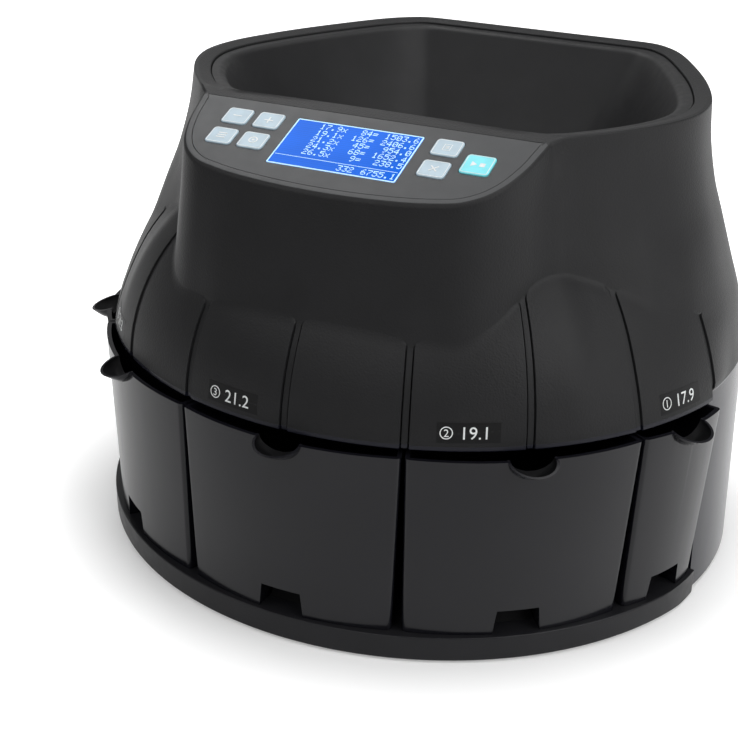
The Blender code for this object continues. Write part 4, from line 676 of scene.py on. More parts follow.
def ranged(tree, value, start, end, low=0.0, high=1.0):
    """The value with its run from start to end spread from low to high."""
    return add_node(tree, "ShaderNodeMapRange", {"Value": value, "From Min": start, "From Max": end,
                                                 "To Min": low, "To Max": high}).outputs["Result"]


def combined(tree, operation, first, second):
    return add_node(tree, "ShaderNodeMath", {0: first, 1: second}, operation=operation).outputs[0]


class Finish:
    """A material under construction: its tree, its shader and its place coordinates."""

    def __init__(self, name, roughness=0.5, metallic=0.0, specular=0.5):
        self.material = bpy.data.materials.new(name)
        self.material.use_nodes = True
        self.tree = self.material.node_tree
        self.shader = self.tree.nodes["Principled BSDF"]
        self.shader.inputs["Roughness"].default_value = roughness
        self.shader.inputs["Metallic"].default_value = metallic
        self.shader.inputs["Specular IOR Level"].default_value = specular
        self.place = add_node(self.tree, "ShaderNodeTexCoord").outputs["Object"]
        self.relief = None

    def node(self, kind, links=None, **settings):
        return add_node(self.tree, kind, links, **settings)

    def noise(self, size, detail=2.0, stretch=(1.0, 1.0, 1.0), place=None):
        """Noise whose features are about that size in metres."""
        scaled = self.node("ShaderNodeMapping", {"Vector": place or self.place,
                                                 "Scale": tuple(s / size for s in stretch)})
        return self.node("ShaderNodeTexNoise", {"Vector": scaled.outputs["Vector"], "Scale": 1.0,
                                                "Detail": detail}).outputs["Fac"]

    def spread(self, factor, low, high, start=0.3, end=0.7):
        return ranged(self.tree, factor, start, end, low, high)

    def blend(self, factor, first, second):
        mix = self.node("ShaderNodeMix", {"Factor": factor}, data_type="RGBA")
        for socket, value in ((mix.inputs[6], first), (mix.inputs[7], second)):
            if isinstance(value, bpy.types.NodeSocket):
                self.tree.links.new(value, socket)
            else:
                socket.default_value = (*value, 1.0)
        return mix.outputs[2]

    def mottled(self, colour, variation, size):
        """The colour, a little darker and lighter in soft patches."""
        dark = tuple(c * (1.0 - variation) for c in colour)
        light = tuple(min(c * (1.0 + variation), 1.0) for c in colour)
        return self.blend(self.spread(self.noise(size), 0.0, 1.0), dark, light)

    def raise_by(self, height, distance, strength=1.0):
        """Adds a relief to the surface: its height pattern, and how deep that is in metres."""
        links = {"Height": height, "Distance": distance, "Strength": strength}
        if self.relief is not None:
            links["Normal"] = self.relief
        self.relief = self.node("ShaderNodeBump", links).outputs["Normal"]
        self.set("Normal", self.relief)

    def set(self, socket, value):
        if isinstance(value, bpy.types.NodeSocket):
            self.tree.links.new(value, self.shader.inputs[socket])
        elif socket in ("Base Color", "Emission Color"):
            self.shader.inputs[socket].default_value = (*value, 1.0)
        else:
            self.shader.inputs[socket].default_value = value


def moulded_plastic(name, colour, roughness, grain=0.00003, grain_size=0.00045, variation=0.10,
                    specular=0.25):
    """Moulded plastic with the fine grain of an etched tool."""
    made = Finish(name, roughness, specular=specular)
    made.set("Base Color", made.mottled(colour, variation, 0.02))
    made.set("Roughness", made.spread(made.noise(0.006, 3.0), roughness - 0.04, roughness + 0.04))
    made.raise_by(made.noise(grain_size, 3.0), grain)
    return made.material


def glossy_plastic(name, colour, roughness, specular=0.3):
    """Smooth moulded plastic: a slight waviness and a few hairline scuffs."""
    made = Finish(name, roughness, specular=specular)
    made.set("Base Color", made.mottled(colour, 0.08, 0.03))
    scuffs = made.noise(0.0012, 4.0, (1.0, 1.0, 0.05))
    made.set("Roughness", made.spread(scuffs, roughness, roughness + 0.05, 0.52, 0.75))
    made.raise_by(made.noise(0.018, 1.0), 0.00004)
    return made.material


def casing_finish(colours, crease):
    """Grained matte casing that turns smooth and glossy on the skirt below the crease."""
    made = Finish("casing_grained_black", 0.5, specular=0.25)
    height = made.node("ShaderNodeSeparateXYZ", {"Vector": made.place}).outputs["Z"]
    upper = ranged(made.tree, height, crease - 0.0001, crease)
    dome = made.mottled(colours.casing, 0.10, 0.03)
    made.set("Base Color", made.blend(upper, colours.skirt[:], dome))
    made.set("Roughness", made.spread(upper, 0.24, 0.50, 0.0, 1.0))
    made.raise_by(made.noise(0.0011, 3.0), 0.00018, upper)
    made.raise_by(made.noise(0.02, 1.0), 0.00004)
    return made.material


def turned_metal(name, colour, roughness, radial=True):
    """Metal with fine tool marks: rings round the axis, or streaks along x."""
    made = Finish(name, roughness, 1.0)
    made.set("Base Color", made.mottled(colour, 0.08, 0.012))
    if radial:
        part = made.node("ShaderNodeSeparateXYZ", {"Vector": made.place})
        along = combined(made.tree, "SUBTRACT", part.outputs["Y"], AXIS_Y)
        flat = made.node("ShaderNodeCombineXYZ", {"X": part.outputs["X"], "Y": along})
        away = made.node("ShaderNodeVectorMath", {0: flat.outputs[0]}, operation="LENGTH").outputs["Value"]
        rings = made.node("ShaderNodeCombineXYZ", {"X": away, "Y": part.outputs["Z"]}).outputs[0]
        marks = made.noise(0.0005, 3.0, (1.0, 1.0, 1.0), rings)
    else:
        marks = made.noise(0.0006, 3.0, (0.03, 1.0, 1.0))
    made.set("Roughness", made.spread(marks, roughness - 0.06, roughness + 0.10))
    made.raise_by(marks, 0.00001)
    return made.material


def board_finish(colour):
    """Green solder resist over copper tracks, with a fine weave."""
    made = Finish("circuit_board", 0.4)
    place = made.node("ShaderNodeMapping", {"Vector": made.place, "Scale": (400.0, 400.0, 400.0)}).outputs[0]
    tracks = made.node("ShaderNodeTexBrick", {"Vector": place, "Scale": 1.0, "Mortar Size": 0.12},
                       offset=0.37, squash=1.4).outputs["Fac"]
    light = tuple(min(c * 1.9, 1.0) for c in colour)
    made.set("Base Color", made.blend(tracks, colour[:], light))
    made.raise_by(tracks, 0.00003)
    return made.material


def display_finish(colour):
    """Blue display, lit from behind through a faint dot pattern."""
    made = Finish("display_lit_blue", 0.12, specular=0.04)
    dots = made.node("ShaderNodeTexVoronoi",
                     {"Vector": made.place, "Scale": 1.0 / DISPLAY_PITCH, "Randomness": 0.0},
                     distance="CHEBYCHEV").outputs["Distance"]
    lit = made.blend(made.spread(dots, 0.0, 1.0, 0.30, 0.42), colour[:], tuple(c * 0.82 for c in colour))
    soft = made.spread(made.noise(0.03, 1.0), 0.9, 1.1)
    made.set("Base Color", made.blend(0.95, lit, (0.0, 0.0, 0.0)))
    made.set("Emission Color", lit)
    made.set("Emission Strength", soft)
    return made.material


def printed_finish(name, colour, glow=0.0, specular=0.5):
    """Printed ink, slightly uneven."""
    made = Finish(name, 0.45, specular=specular)
    ink = made.mottled(colour, 0.05, 0.002)
    made.set("Base Color", ink)
    if glow:
        made.set("Emission Color", ink)
        made.set("Emission Strength", glow)
    made.raise_by(made.noise(0.0003, 2.0), 0.000008)
    return made.material


def key_finish(name, colour):
    """Silicone keys with a soft bloom."""
    made = Finish(name, 0.42)
    made.set("Base Color", made.mottled(colour, 0.06, 0.006))
    made.shader.inputs["Sheen Weight"].default_value = 0.15
    made.raise_by(made.noise(0.0004, 2.0), 0.000012)
    return made.material


FINISHES = {}


def make_finishes():
    c = sizes("colours")
    FINISHES.update({
        "casing": casing_finish(c, sizes("casing").body_crease),
        "bowl": moulded_plastic("bowl_grained_black", c.casing[:], 0.46),
        "cup": glossy_plastic("cup_gloss_black", c.cup[:], 0.19, 0.4),
        "base": moulded_plastic("base_satin_black", c.base[:], 0.38, 0.00001),
        # Partly the panel's own grey, partly painted sheen
        "panel": moulded_plastic("panel_satin_grey", c.panel[:], 0.42, 0.000012, 0.0003, 0.04),
        "dark": moulded_plastic("inner_plastic_black", c.dark[:], 0.45),
        # Painted shade for the rails in the cups' notches and for the scoops' insides
        "rail": moulded_plastic("rail_matte_black", c.rail[:], 0.6, specular=0.1),
        "socket": glossy_plastic("socket_gloss_black", c.cup[:], 0.22),
        "sensor": moulded_plastic("sensor_black", c.dark[:], 0.5, 0.00001),
        "label": printed_finish("label_black", c.label[:], 0.0, 0.2),
        "display": display_finish(c.display[:]),
        "figures": printed_finish("display_figures_pale", c.figures[:], 0.35),
        "mark": printed_finish("printed_white", c.mark[:]),
        "key": key_finish("key_grey", c.key[:]),
        "start": key_finish("key_blue", c.start[:]),
        "zinc": turned_metal("zinc_turned", c.zinc[:], 0.32),
        "steel": turned_metal("steel_brushed", c.steel[:], 0.34, False),
        "brass": turned_metal("brass_machined", c.brass[:], 0.3, False),
        "board": board_finish(c.board[:]),
        "rubber": moulded_plastic("foot_rubber", c.rubber[:], 0.8),
    })


# Casing and bowl

class CasingForm:
    """The casing's plan outlines, and its shape at any azimuth."""

    def __init__(self, k):
        self.k = k
        run = k.lip_front - k.crest_front
        front = [(k.crest_half_width * x, -k.crest_front - run * y) for x, y in LIP_SHARES]
        back = [(k.rim_half_width * x, (k.rim_back if y > 0.0 else k.crest_front) * y) for x, y in RIM_SHARES]
        side = smooth_curve([front[-1]] + back)
        corner = Vector(front[-1])
        beyond = [Vector(place) for place in side if (Vector(place) - corner).length > k.crest_corner]
        start = corner - Vector((k.crest_corner, 0.0))
        crest = [(start.x * i / CREST_STEPS, start.y) for i in range(CREST_STEPS)]
        crest += bend(start, corner, beyond[0], CREST_STEPS, True)[:-1] + [tuple(place) for place in beyond]
        self.lip = Outline(smooth_curve(front, mirrored=True) + side[1:])
        self.crest = Outline(crest)
        self.corner_angle = math.atan2(k.crest_half_width, k.crest_front)
        self.opening = Outline(inset_curve(crest, k.rim_width))
        self.hopper = Outline(evened(inset_curve(crest, k.rim_width)))
        self.sections = {}

    def at(self, azimuth):
        key = round(abs(azimuth), 7)
        if key not in self.sections:
            self.sections[key] = Section(self, key)
        return self.sections[key]

    def panel_height(self, y):
        k = self.k
        return k.rim_height - k.crest_drop + (y + k.crest_front) * math.tan(k.tilt)

    def dip(self, azimuth, below):
        """Depth of the groove at a place on the dome, so far below the dome's upper edge, where it widens."""
        k = self.k
        index = min(round(azimuth / PANEL_ANGLE), GROOVE_SIDES)
        across = abs(azimuth - index * PANEL_ANGLE) * k.dome_edge_radius
        short = min(max(k.panel_corner - below, 0.0), k.panel_corner)
        half = k.groove_width / 2 + k.panel_corner - math.sqrt(k.panel_corner**2 - short**2)
        slot = max(1.0 - abs(across - half + k.slot_width / 2) / (k.slot_width / 2), 0.0)
        floor = k.groove_depth * (1.0 - ramp(half - k.slot_width / 2, half, across))
        return (floor + k.slot_depth * slot * ramp(0.0, SLOT_FADE, below)) * ramp(-GROOVE_FADE, 0.0, below)


class Section:
    """The casing's shape at one azimuth."""

    def __init__(self, form, away):
        k = form.k
        self.form, self.k, self.away = form, k, away
        self.lip = form.lip.radius(away)
        window = [form.lip.radius(abs(away + k.fold_angle * i / FOLD_STEPS)) * (FOLD_STEPS + 1 - abs(i))
                  for i in range(-FOLD_STEPS, FOLD_STEPS + 1)]
        near = 1.0 - ramp(0.0, 2.5 * k.fold_angle, abs(away - form.corner_angle))
        self.softening = (sum(window) / (FOLD_STEPS + 1)**2 - self.lip) * near
        self.edge = form.crest.radius(away)
        self.mouth = form.opening.radius(away)
        self.over_panel = away < form.corner_angle
        behind = away > math.pi / 2
        self.drop = 0.0 if behind else max(k.rim_height - form.panel_height(-self.edge * math.cos(away)), 0.0)
        rim = k.rim_height - self.drop
        self.lip_height = rim if behind else min(form.panel_height(-self.lip * math.cos(away)), rim)
        reach = away / LAST_GROOVE_ANGLE
        self.draft = eased(DRAFT_SHARES, away / BULGE_END_ANGLE, flat_start=True)
        past = (away - BULGE_END_ANGLE) / (SIDE_WALL_ANGLE - BULGE_END_ANGLE)
        self.mix = eased(MIX_SHARES, past, True, True)
        self.swell = eased(SWELL_SHARES, reach, True, True)
        self.draw = eased(DRAW_SHARES, reach, True, True)
        low, high = k.dome_edge, k.rim_height
        capped = min(away, LAST_GROOVE_ANGLE)
        if capped < away:
            self.crease = form.at(capped).crease
        else:
            for _ in range(30):
                middle = (low + high) / 2
                low, high = (middle, high) if self.dome(middle) > self.wall(middle) else (low, middle)
            self.crease = low

    def dome(self, z):
        k = self.k
        rise = max(z - k.dome_arc_height, 0.0)
        arc = k.dome_edge_radius - k.dome_arc + math.sqrt(max(k.dome_arc**2 - rise**2, 0.0))
        up = min(max(z - k.dome_edge, 0.0) / k.draw_height, 1.0)
        return arc - k.side_draw * self.draw * math.sin(math.pi / 2 * up)

    def side(self, z):
        k = self.k
        up = min(max((z - k.body_crease) / (k.rim_height - k.body_crease), 0.0), 1.0)
        flare = eased(FLARE_SHARES, up)
        if z <= k.body_crease:
            flare += (1.0 - flare) * (k.body_crease - z) / (k.body_crease - k.foot)
        swell = k.side_swell * self.swell * math.sin(math.pi * up)
        return self.lip + (k.skirt_radius - self.lip) * flare + swell

    def wall(self, z):
        k = self.k
        side = self.side(z)
        soft = self.softening * ramp(0.0, k.fold_fade, self.lip_height - z)
        if self.mix >= 1.0:
            return side + soft
        down = (self.lip_height - z) / (k.rim_height - k.dome_edge)
        front = self.lip + k.hopper_run * self.draft * down
        return front + (side - front) * self.mix + soft

    def radius(self, z, grooved=True):
        k = self.k
        wall = self.wall(z)
        half = (k.groove_width - k.slot_width) / 2 / k.dome_edge_radius
        past = self.away - LAST_GROOVE_ANGLE
        below = self.crease - z
        dip = self.form.dip(self.away, below) if grooved else 0.0
        if past < -half:
            return smooth_max(wall, self.dome(z) - dip, k.crease_fillet)
        shoulder = self.form.at(LAST_GROOVE_ANGLE).dome(z) - k.shoulder_drop
        fading = 1.0 - ramp(0.0, k.shoulder_angle, past)
        raised = fading * ramp(k.dome_edge, k.dome_edge + k.shoulder_rise, z)
        wall += max(shoulder - wall, 0.0) * raised
        return wall - dip * ramp(0.0, GROOVE_FADE, below)

    def upper(self):
        """Points from just above the dome's edge up the outside, over the rim and down the inside."""
        k = self.k
        start = k.dome_edge + k.edge_round
        levels = [start, k.body_crease]

        def climb(end, count):
            first = levels[-1]
            levels.extend(first + (end - first) * (i + 1) / count for i in range(count))

        height = self.drop / k.crest_drop
        edge_round = k.rim_round + (k.lip_round - k.rim_round) * height
        climb(self.crease - k.panel_corner - 2 * k.crease_fillet, 12)
        climb(self.crease + k.crease_fillet, 16)
        climb(self.lip_height - edge_round, 16)
        points = [(self.radius(z), z) for z in levels]
        lip = Vector((self.lip, self.lip_height))
        inner = self.edge - edge_round - (k.crest_round - k.lip_round) * height
        plane = min(self.form.panel_height(-inner * math.cos(self.away)), k.rim_height)
        crest = Vector((inner, k.rim_height - (k.rim_height - plane) * height))
        level = crest + Vector((-0.0015, k.rim_height - crest.y))
        slope = crest - lip
        first = lip + slope.normalized() * min(edge_round, slope.length * 0.4)
        last = crest - slope.normalized() * min(0.0012, slope.length * 0.3)
        points += bend(Vector(points[-1]), lip, first, 6)
        points += [tuple(first + (last - first) * i / 10) for i in range(1, 10)]
        points += bend(last, crest, level, 4, True)
        corner = Vector((self.mouth, k.rim_height - k.rim_fall))
        before = corner + (level - corner).normalized() * RIM_INNER_ROUND
        points += bend(before, corner, corner - Vector((0.0, RIM_INNER_ROUND)), 4, True)
        ledge = k.rim_height - k.ledge_drop
        below = ledge - k.ledge_thickness
        points += [(self.mouth, ledge + 0.001), (self.mouth, ledge), (self.mouth - k.ledge_width, ledge),
                   (self.mouth - k.ledge_width, below), (self.mouth, below)]
        if self.over_panel:
            under = k.panel_wall / math.cos(k.tilt)
            inner_lip = self.lip - k.wall
            low_lip = self.form.panel_height(-inner_lip * math.cos(self.away)) - under
            points += [(self.edge, k.rim_height - k.crest_drop - under), (inner_lip, low_lip)]
        else:
            low_lip = below - k.ledge_thickness
            inner_lip = self.radius(low_lip, False) - k.wall
            points += [((self.mouth + inner_lip) / 2, below), (inner_lip, low_lip)]
        inside = [low_lip + (start - low_lip) * i / 7 for i in range(1, 8)]
        points += [(self.radius(z, False) - k.wall, z) for z in inside]
        return points

    def lower(self, behind):
        """Points from the inside round the foot to the outside, of the dome or of the skirt."""
        k = self.k
        start = k.dome_edge + k.edge_round
        outer, inner = self.radius(start), self.radius(start, False) - k.wall
        r = k.edge_round
        if not behind:
            turns = (0.5, 1.1, math.pi / 2)
            foot = [(inner + r * (1 - math.cos(a)), start - r * math.sin(a)) for a in turns]
            return foot + [(outer - r * (1 - math.cos(a)), start - r * math.sin(a)) for a in reversed(turns)]
        levels = [start + (k.foot - start) * i / 4 for i in range(1, 5)]
        foot = [(self.side(z) - k.wall, z) for z in levels]
        skirt = self.side(k.foot)
        edge = k.foot + r
        foot += [(skirt - r, k.foot), (skirt - r * 0.3, k.foot + r * 0.3), (self.side(edge), edge)]
        levels = [edge + (start - k.foot - r) * i / 8 for i in range(1, 8)]
        return foot + [(self.side(z), z) for z in levels]


def bend(start, corner, end, count, with_ends=False):
    """Points on a rounded corner."""
    curve = []
    for i in range(0 if with_ends else 1, count + 1):
        t = i / count
        curve.append(tuple(start * (1 - t)**2 + corner * 2 * (1 - t) * t + end * t**2))
    return curve


def casing_azimuths(k):
    """Azimuths of the casing's sections over one turn, closer together across the grooves."""
    found = set()
    grooves = [i * PANEL_ANGLE for i in range(-GROOVE_SIDES, GROOVE_SIDES + 1)]
    half = k.groove_width / 2 / k.dome_edge_radius
    for centre in grooves:
        for sample in GROOVE_SAMPLES:
            found.update((round(centre + sample * half, 6), round(centre - sample * half, 6)))
    for i in range(-180, 180):
        azimuth = math.radians(i)
        if all(abs(azimuth - centre) > half * 2.1 for centre in grooves):
            found.add(round(azimuth, 6))
    cuts = (round(BAY_ANGLE, 6), round(-BAY_ANGLE, 6))
    found = {a for a in found if all(abs(a - c) > 0.0015 for c in cuts)} | set(cuts)
    return sorted(found), cuts


def casing_mesh(form):
    """One closed shell: the outside, the rim, the inside, and the skirt behind the bay."""
    azimuths, cuts = casing_azimuths(form.k)

    def build(shape):
        rows = []
        for azimuth in azimuths:
            section = form.at(azimuth)
            upper = [shape.verts.new(polar(r, azimuth, z)) for r, z in section.upper()]
            lower = {}
            for behind in (False, True):
                if (abs(azimuth) >= cuts[0] - 1e-9) if behind else (abs(azimuth) <= cuts[0] + 1e-9):
                    lower[behind] = [shape.verts.new(polar(r, azimuth, z)) for r, z in section.lower(behind)]
            rows.append((azimuth, upper, lower))
            if len(lower) == 2:
                shape.faces.new([upper[-1], *lower[True], upper[0], *reversed(lower[False])])
        for here, there in zip(rows, rows[1:] + rows[:1]):
            middle = (here[0] + there[0]) / 2 if there[0] > here[0] else math.pi
            behind = abs(middle) > cuts[0]
            first, second = here[1] + here[2][behind], there[1] + there[2][behind]
            for i in range(len(first)):
                j = (i + 1) % len(first)
                shape.faces.new((first[i], first[j], second[j], second[i]))
    return mesh_from("casing_shell", build)


def panel_matrix():
    """Places a thing made in the panel's own frame: u right, -v down the slope, and out of it."""
    k = sizes("casing")
    place = Matrix.Translation((0.0, AXIS_Y - k.crest_front, k.rim_height - k.crest_drop))
    return place @ Matrix.Rotation(k.tilt, 4, "X")


def panel_outline(inset):
    """Outline in the panel's frame that follows the lip at a distance, closed along the crest."""
    k, p = sizes("casing"), sizes("panel")
    slope = math.cos(k.tilt)
    run = k.lip_front - k.crest_front
    lip = smooth_curve([(k.crest_half_width * x, -k.crest_front - run * y) for x, y in LIP_SHARES], 6, True)
    front = inset_curve(lip, inset)
    right = [(x, (-k.crest_front - y) / slope) for x, y in front[:-1]]
    top = p.top_margin + max(inset - p.inset, 0.0)
    right = [(u, v) for u, v in right if v > top + 0.0022] + [(front[-2][0] + inset / 4, top)]
    left = [(-u, v) for u, v in reversed(right) if u > 0.0]
    return [(u, -v) for u, v in right + left]


def bowl_mesh(form):
    """Flange on the casing's ledge, and walls that fall to a round mouth over the disc."""
    k = form.k
    top = k.rim_height - k.ledge_drop + SEAT_GAP + k.bowl_flange
    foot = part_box("hopper_bowl")[0].z
    sections = []
    for i in range(BOWL_STEPS):
        azimuth = 2 * math.pi * i / BOWL_STEPS
        away = abs(math.remainder(azimuth, 2 * math.pi))
        mouth = form.opening.radius(away) - SEAT_GAP
        start = form.hopper.radius(away) - SEAT_GAP - k.bowl_inset
        inner = [(start + (k.bowl_mouth - start) * eased(BOWL_SHARES, j / BOWL_ROWS),
                  top + (foot - top) * j / BOWL_ROWS) for j in range(BOWL_ROWS + 1)]
        outer = [(r + k.bowl_wall, z) for r, z in inner[1:]]
        rim = [(mouth, top - k.bowl_flange), (mouth, top - BOWL_RIM_EDGE), (mouth - BOWL_RIM_EDGE, top)]
        inside = Vector(inner[1]).lerp(Vector(inner[0]), 0.4)
        rim += bend(Vector((start + BOWL_RIM_ROUND, top)), Vector((start, top)), inside, 7, True)
        foot_round = [(inner[-1][0] + BOWL_EDGE, foot), (outer[-1][0] - BOWL_EDGE, foot)]
        inner[-1] = (inner[-1][0], foot + BOWL_EDGE)
        outer[-1] = (outer[-1][0], foot + BOWL_EDGE)
        loop = rim + inner[1:] + foot_round + outer[::-1] + [(start + k.bowl_wall, top - k.bowl_flange)]
        sections.append([polar(r, azimuth, z) for r, z in loop])
    return loft("hopper_lining", sections, ring=True)


class SORTER_OT_finishes(Operator):
    """Makes the finishes and gives them to the CAD parts that stay shown"""
    bl_idname = "sorter.finishes"
    bl_label = "Finishes"

    def execute(self, context):
        make_finishes()
        kept = {
            "dark": ["display_module", "drive_gear"],
            "steel": ["motor", "motor_plate", "power_supply", "disc_shaft"],
            "brass": ["upper_bearing", "lower_bearing", "motor_pinion"],
            "board": ["main_board", "key_board_left", "key_board_right"],
        }
        for finish, nodes in kept.items():
            for node in nodes:
                paint_node(node, finish)
        return {"FINISHED"}


class SORTER_OT_casing(Operator):
    """Builds the dome, the hopper walls and the rear body as one shell, and the bowl inside the rim"""
    bl_idname = "sorter.casing"
    bl_label = "Casing and bowl"

    def execute(self, context):
        k, p = sizes("casing"), sizes("panel")
        form = CasingForm(k)
        pocket = prism("pocket", panel_outline(p.inset), -p.plate - SEAT_GAP, OVERRUN)
        through = prism("through", panel_outline(p.inset + p.ledge), -k.panel_wall - OVERRUN, OVERRUN / 2)
        recess = trapezoid(k.rear_low, k.rear_high, k.rear_half_width, k.rear_half_width)
        back = AXIS_Y + k.skirt_radius
        rear = loft("rear", [[Vector((x, y, z)) for x, z in recess]
                             for y in (back - 3 * OVERRUN, back + OVERRUN)])
        place = panel_matrix()
        mesh = worked(casing_mesh(form), cut(moved(pocket, place)), cut(moved(through, place)), cut(rear))
        shell = add_piece("casing_shell", shaded(mesh), "casing", "machine", ["top_casing"])
        to_panel = place.inverted()

        # The casing's lip round the panel takes the panel's lighter grey: painted sheen, as on the panel
        def over_panel(centre, normal):
            spot = to_panel @ centre
            level = (to_panel.to_3x3() @ normal).z > 0.985 and abs(spot.z) < PANEL_SLACK
            return level and spot.y < -2 * p.top_margin

        paint_part(shell, "panel", over_panel)
        add_piece("hopper_lining", shaded(bowl_mesh(form)), "bowl", "machine",
                  ["hopper_bowl"])
        return {"FINISHED"}


# Cups and base

def cup_outline(c, half_angle, outer, inner, side_gap, corner):
    """Plan of a cup, its middle towards -Y: a slightly flattened front, straight sides and a round back."""
    front_angle = half_angle - math.asin(side_gap / outer)
    back_angle = half_angle - math.asin(side_gap / inner)
    front = []
    for i in range(CUP_STEPS + 1):
        across = 2 * i / CUP_STEPS - 1
        r = outer - c.flattening * across**2
        front.append((r * math.sin(across * front_angle), -r * math.cos(across * front_angle)))
    back = [(inner * math.sin(a), -inner * math.cos(a))
            for a in [(1 - 2 * i / 8) * back_angle for i in range(9)]]
    outline = front + back
    # The straight run beside a corner is long enough for its rounding once the nearest points are dropped
    near = 1 + int(corner / (c.foot_radius * half_angle * 1.8 / CUP_STEPS))
    kept = [outline[0]] + outline[near:CUP_STEPS + 1 - near] + outline[CUP_STEPS:]
    return fillet(kept, corner, 6, (0, len(kept) - len(back) - 1))


def scoop_loops(c, radius, reach, depth, centre, top, rise):
    """Half a bowl under the cup's top edge, its rim falling outwards."""
    loops = []
    for i in range(SCOOP_ROWS + 1):
        turn = SCOOP_TURN * (SCOOP_ROWS - i) / SCOOP_ROWS
        nearer = 1.0 - c.scoop_taper * math.sin(turn)
        low = top - depth * math.sin(turn)
        loops.append([Vector((radius * math.cos(turn) * x, centre + reach * nearer * y,
                              low + c.scoop_fall * nearer * y)) for x, y in circle(1.0, SCOOP_STEPS)])
    if rise:
        loops.append([Vector((p.x, p.y, top + rise)) for p in loops[-1]])
    return loops


def cup_mesh(c, half_angle):
    """One cup in its own frame, its front towards -Y."""
    foot = c.deck + SEAT_GAP
    wall_top = cup_outline(c, half_angle, c.top_radius, c.inner_radius, c.side_gap, c.corner)
    wall_foot = cup_outline(c, half_angle, c.foot_radius, c.inner_radius, c.foot_gap, c.corner)
    body = loft("cup", [at_height(wall_foot, foot), at_height(wall_top, c.top)])

    def hollow(height, grown):
        up = (height - foot) / (c.top - foot)
        outer = c.foot_radius + (c.top_radius - c.foot_radius) * up - c.wall
        gap = c.foot_gap + (c.side_gap - c.foot_gap) * up + c.wall
        return at_height(cup_outline(c, half_angle, outer, c.inner_radius + c.wall, gap, c.corner - c.wall),
                         height + grown)

    channel_foot, channel_top = c.rail_foot / 2 + c.guide_gap, c.rail_top / 2 + c.guide_gap
    channel_height = foot + c.rail_height + c.guide_gap
    reach_out = c.top_radius + OVERRUN

    def channel(grown, low):
        outline = trapezoid(low, channel_height + grown, channel_foot + grown, channel_top + grown)
        return loft("channel", [[Vector((x, -reach, z)) for x, z in outline]
                                for reach in (c.inner_radius - OVERRUN - grown, reach_out + grown)])

    cavity = worked(loft("cavity", [hollow(foot + c.wall, 0.0), hollow(c.top, OVERRUN)]),
                    cut(channel(c.wall, foot + c.wall / 2)))
    line = -(c.top_radius - c.wall / 2)
    reach = c.scoop_reach + c.wall / 2
    rim = c.top - SEAT_GAP
    outer = loft("scoop", scoop_loops(c, c.scoop_width / 2, reach, c.scoop_depth, line, rim, 0.0))
    inner = loft("scoop_hollow", scoop_loops(c, c.scoop_width / 2 - c.scoop_wall, reach - c.scoop_wall,
                                             c.scoop_depth - c.scoop_wall, line, rim, OVERRUN))
    return worked(body, join(outer), cut(cavity), cut(inner), cut(channel(0.0, foot - OVERRUN)),
                  eased_edges(CUP_EDGE, 2, 35.0))


def base_mesh(c):
    """Deck with a tapering skirt, guide rails on top and pads for the feet below."""
    deck_foot = c.deck - c.base_wall
    taper = (c.base_radius - c.base_foot_radius) / (c.deck - c.base_lift)
    inner_top = c.base_radius - taper * c.base_wall - c.base_wall
    outline = [(0.0, deck_foot), (inner_top, deck_foot), (c.base_foot_radius - c.base_wall, c.base_lift),
               (c.base_foot_radius - 0.0005, c.base_lift),
               (c.base_foot_radius + 0.0001, c.base_lift + 0.0006)]
    outline += bend(Vector((c.base_radius - taper * BASE_EDGE, c.deck - BASE_EDGE)),
                    Vector((c.base_radius, c.deck)), Vector((c.base_radius - BASE_EDGE, c.deck)), 4, True)
    outline += [(0.0, c.deck)]
    wide = 2 * math.pi - 2 * BAY_ANGLE + 2 * TURN_PAST
    turns = [BAY_ANGLE - TURN_PAST + wide * i / BAY_STEPS for i in range(BAY_STEPS + 1)]
    beyond = c.base_radius + OVERRUN
    shares = [i / END_STEPS for i in range(END_STEPS + 1)]
    merging = [(BAY_ANGLE - c.end_taper * (1.0 - s), c.base_radius + RADIUS_PAST - c.end_depth * s**2)
               for s in shares]
    around = [(beyond, merging[0][0])] + [(beyond, a) for a in turns] + [(beyond, -merging[0][0])]
    around += [(r, -a) for a, r in merging] + [(c.deck_edge, a) for a in reversed(turns)]
    notch = [tuple(polar(r, a, 0.0).xy) for r, a in around + [(r, a) for a, r in reversed(merging)]]
    additions = []
    low, high = c.deck - c.base_wall / 2, c.deck + c.rail_height
    section = trapezoid(low, high, c.rail_foot / 2, c.rail_top / 2)
    for azimuth in CUP_AZIMUTHS:
        rail = loft("rail", [[Vector((x, -RAIL_START, z)) for x, z in section],
                             [Vector((x, -(c.rail_end - (RAIL_SLOPE if z == high else 0.0)), z))
                              for x, z in section]])
        additions.append(join(moved(rail, cup_matrix(azimuth))))
    for i in range(4):
        place = middle_of(f"foot_{i + 1}")
        pad = circle(FOOT_PAD_RADIUS, 32, place.xy)
        additions.append(join(prism("pad", pad, FOOT_PAD_HEIGHT, deck_foot + c.base_wall / 2)))
    ring = turned("base_ring", outline, TURN_STEPS)
    return worked(ring, cut(prism("notch", notch, -OVERRUN, c.deck + OVERRUN)), *additions,
                  eased_edges(CUT_EDGE, 2, 50.0))


def cup_matrix(azimuth):
    return Matrix.Translation((0.0, AXIS_Y, 0.0)) @ Matrix.Rotation(azimuth, 4, "Z")


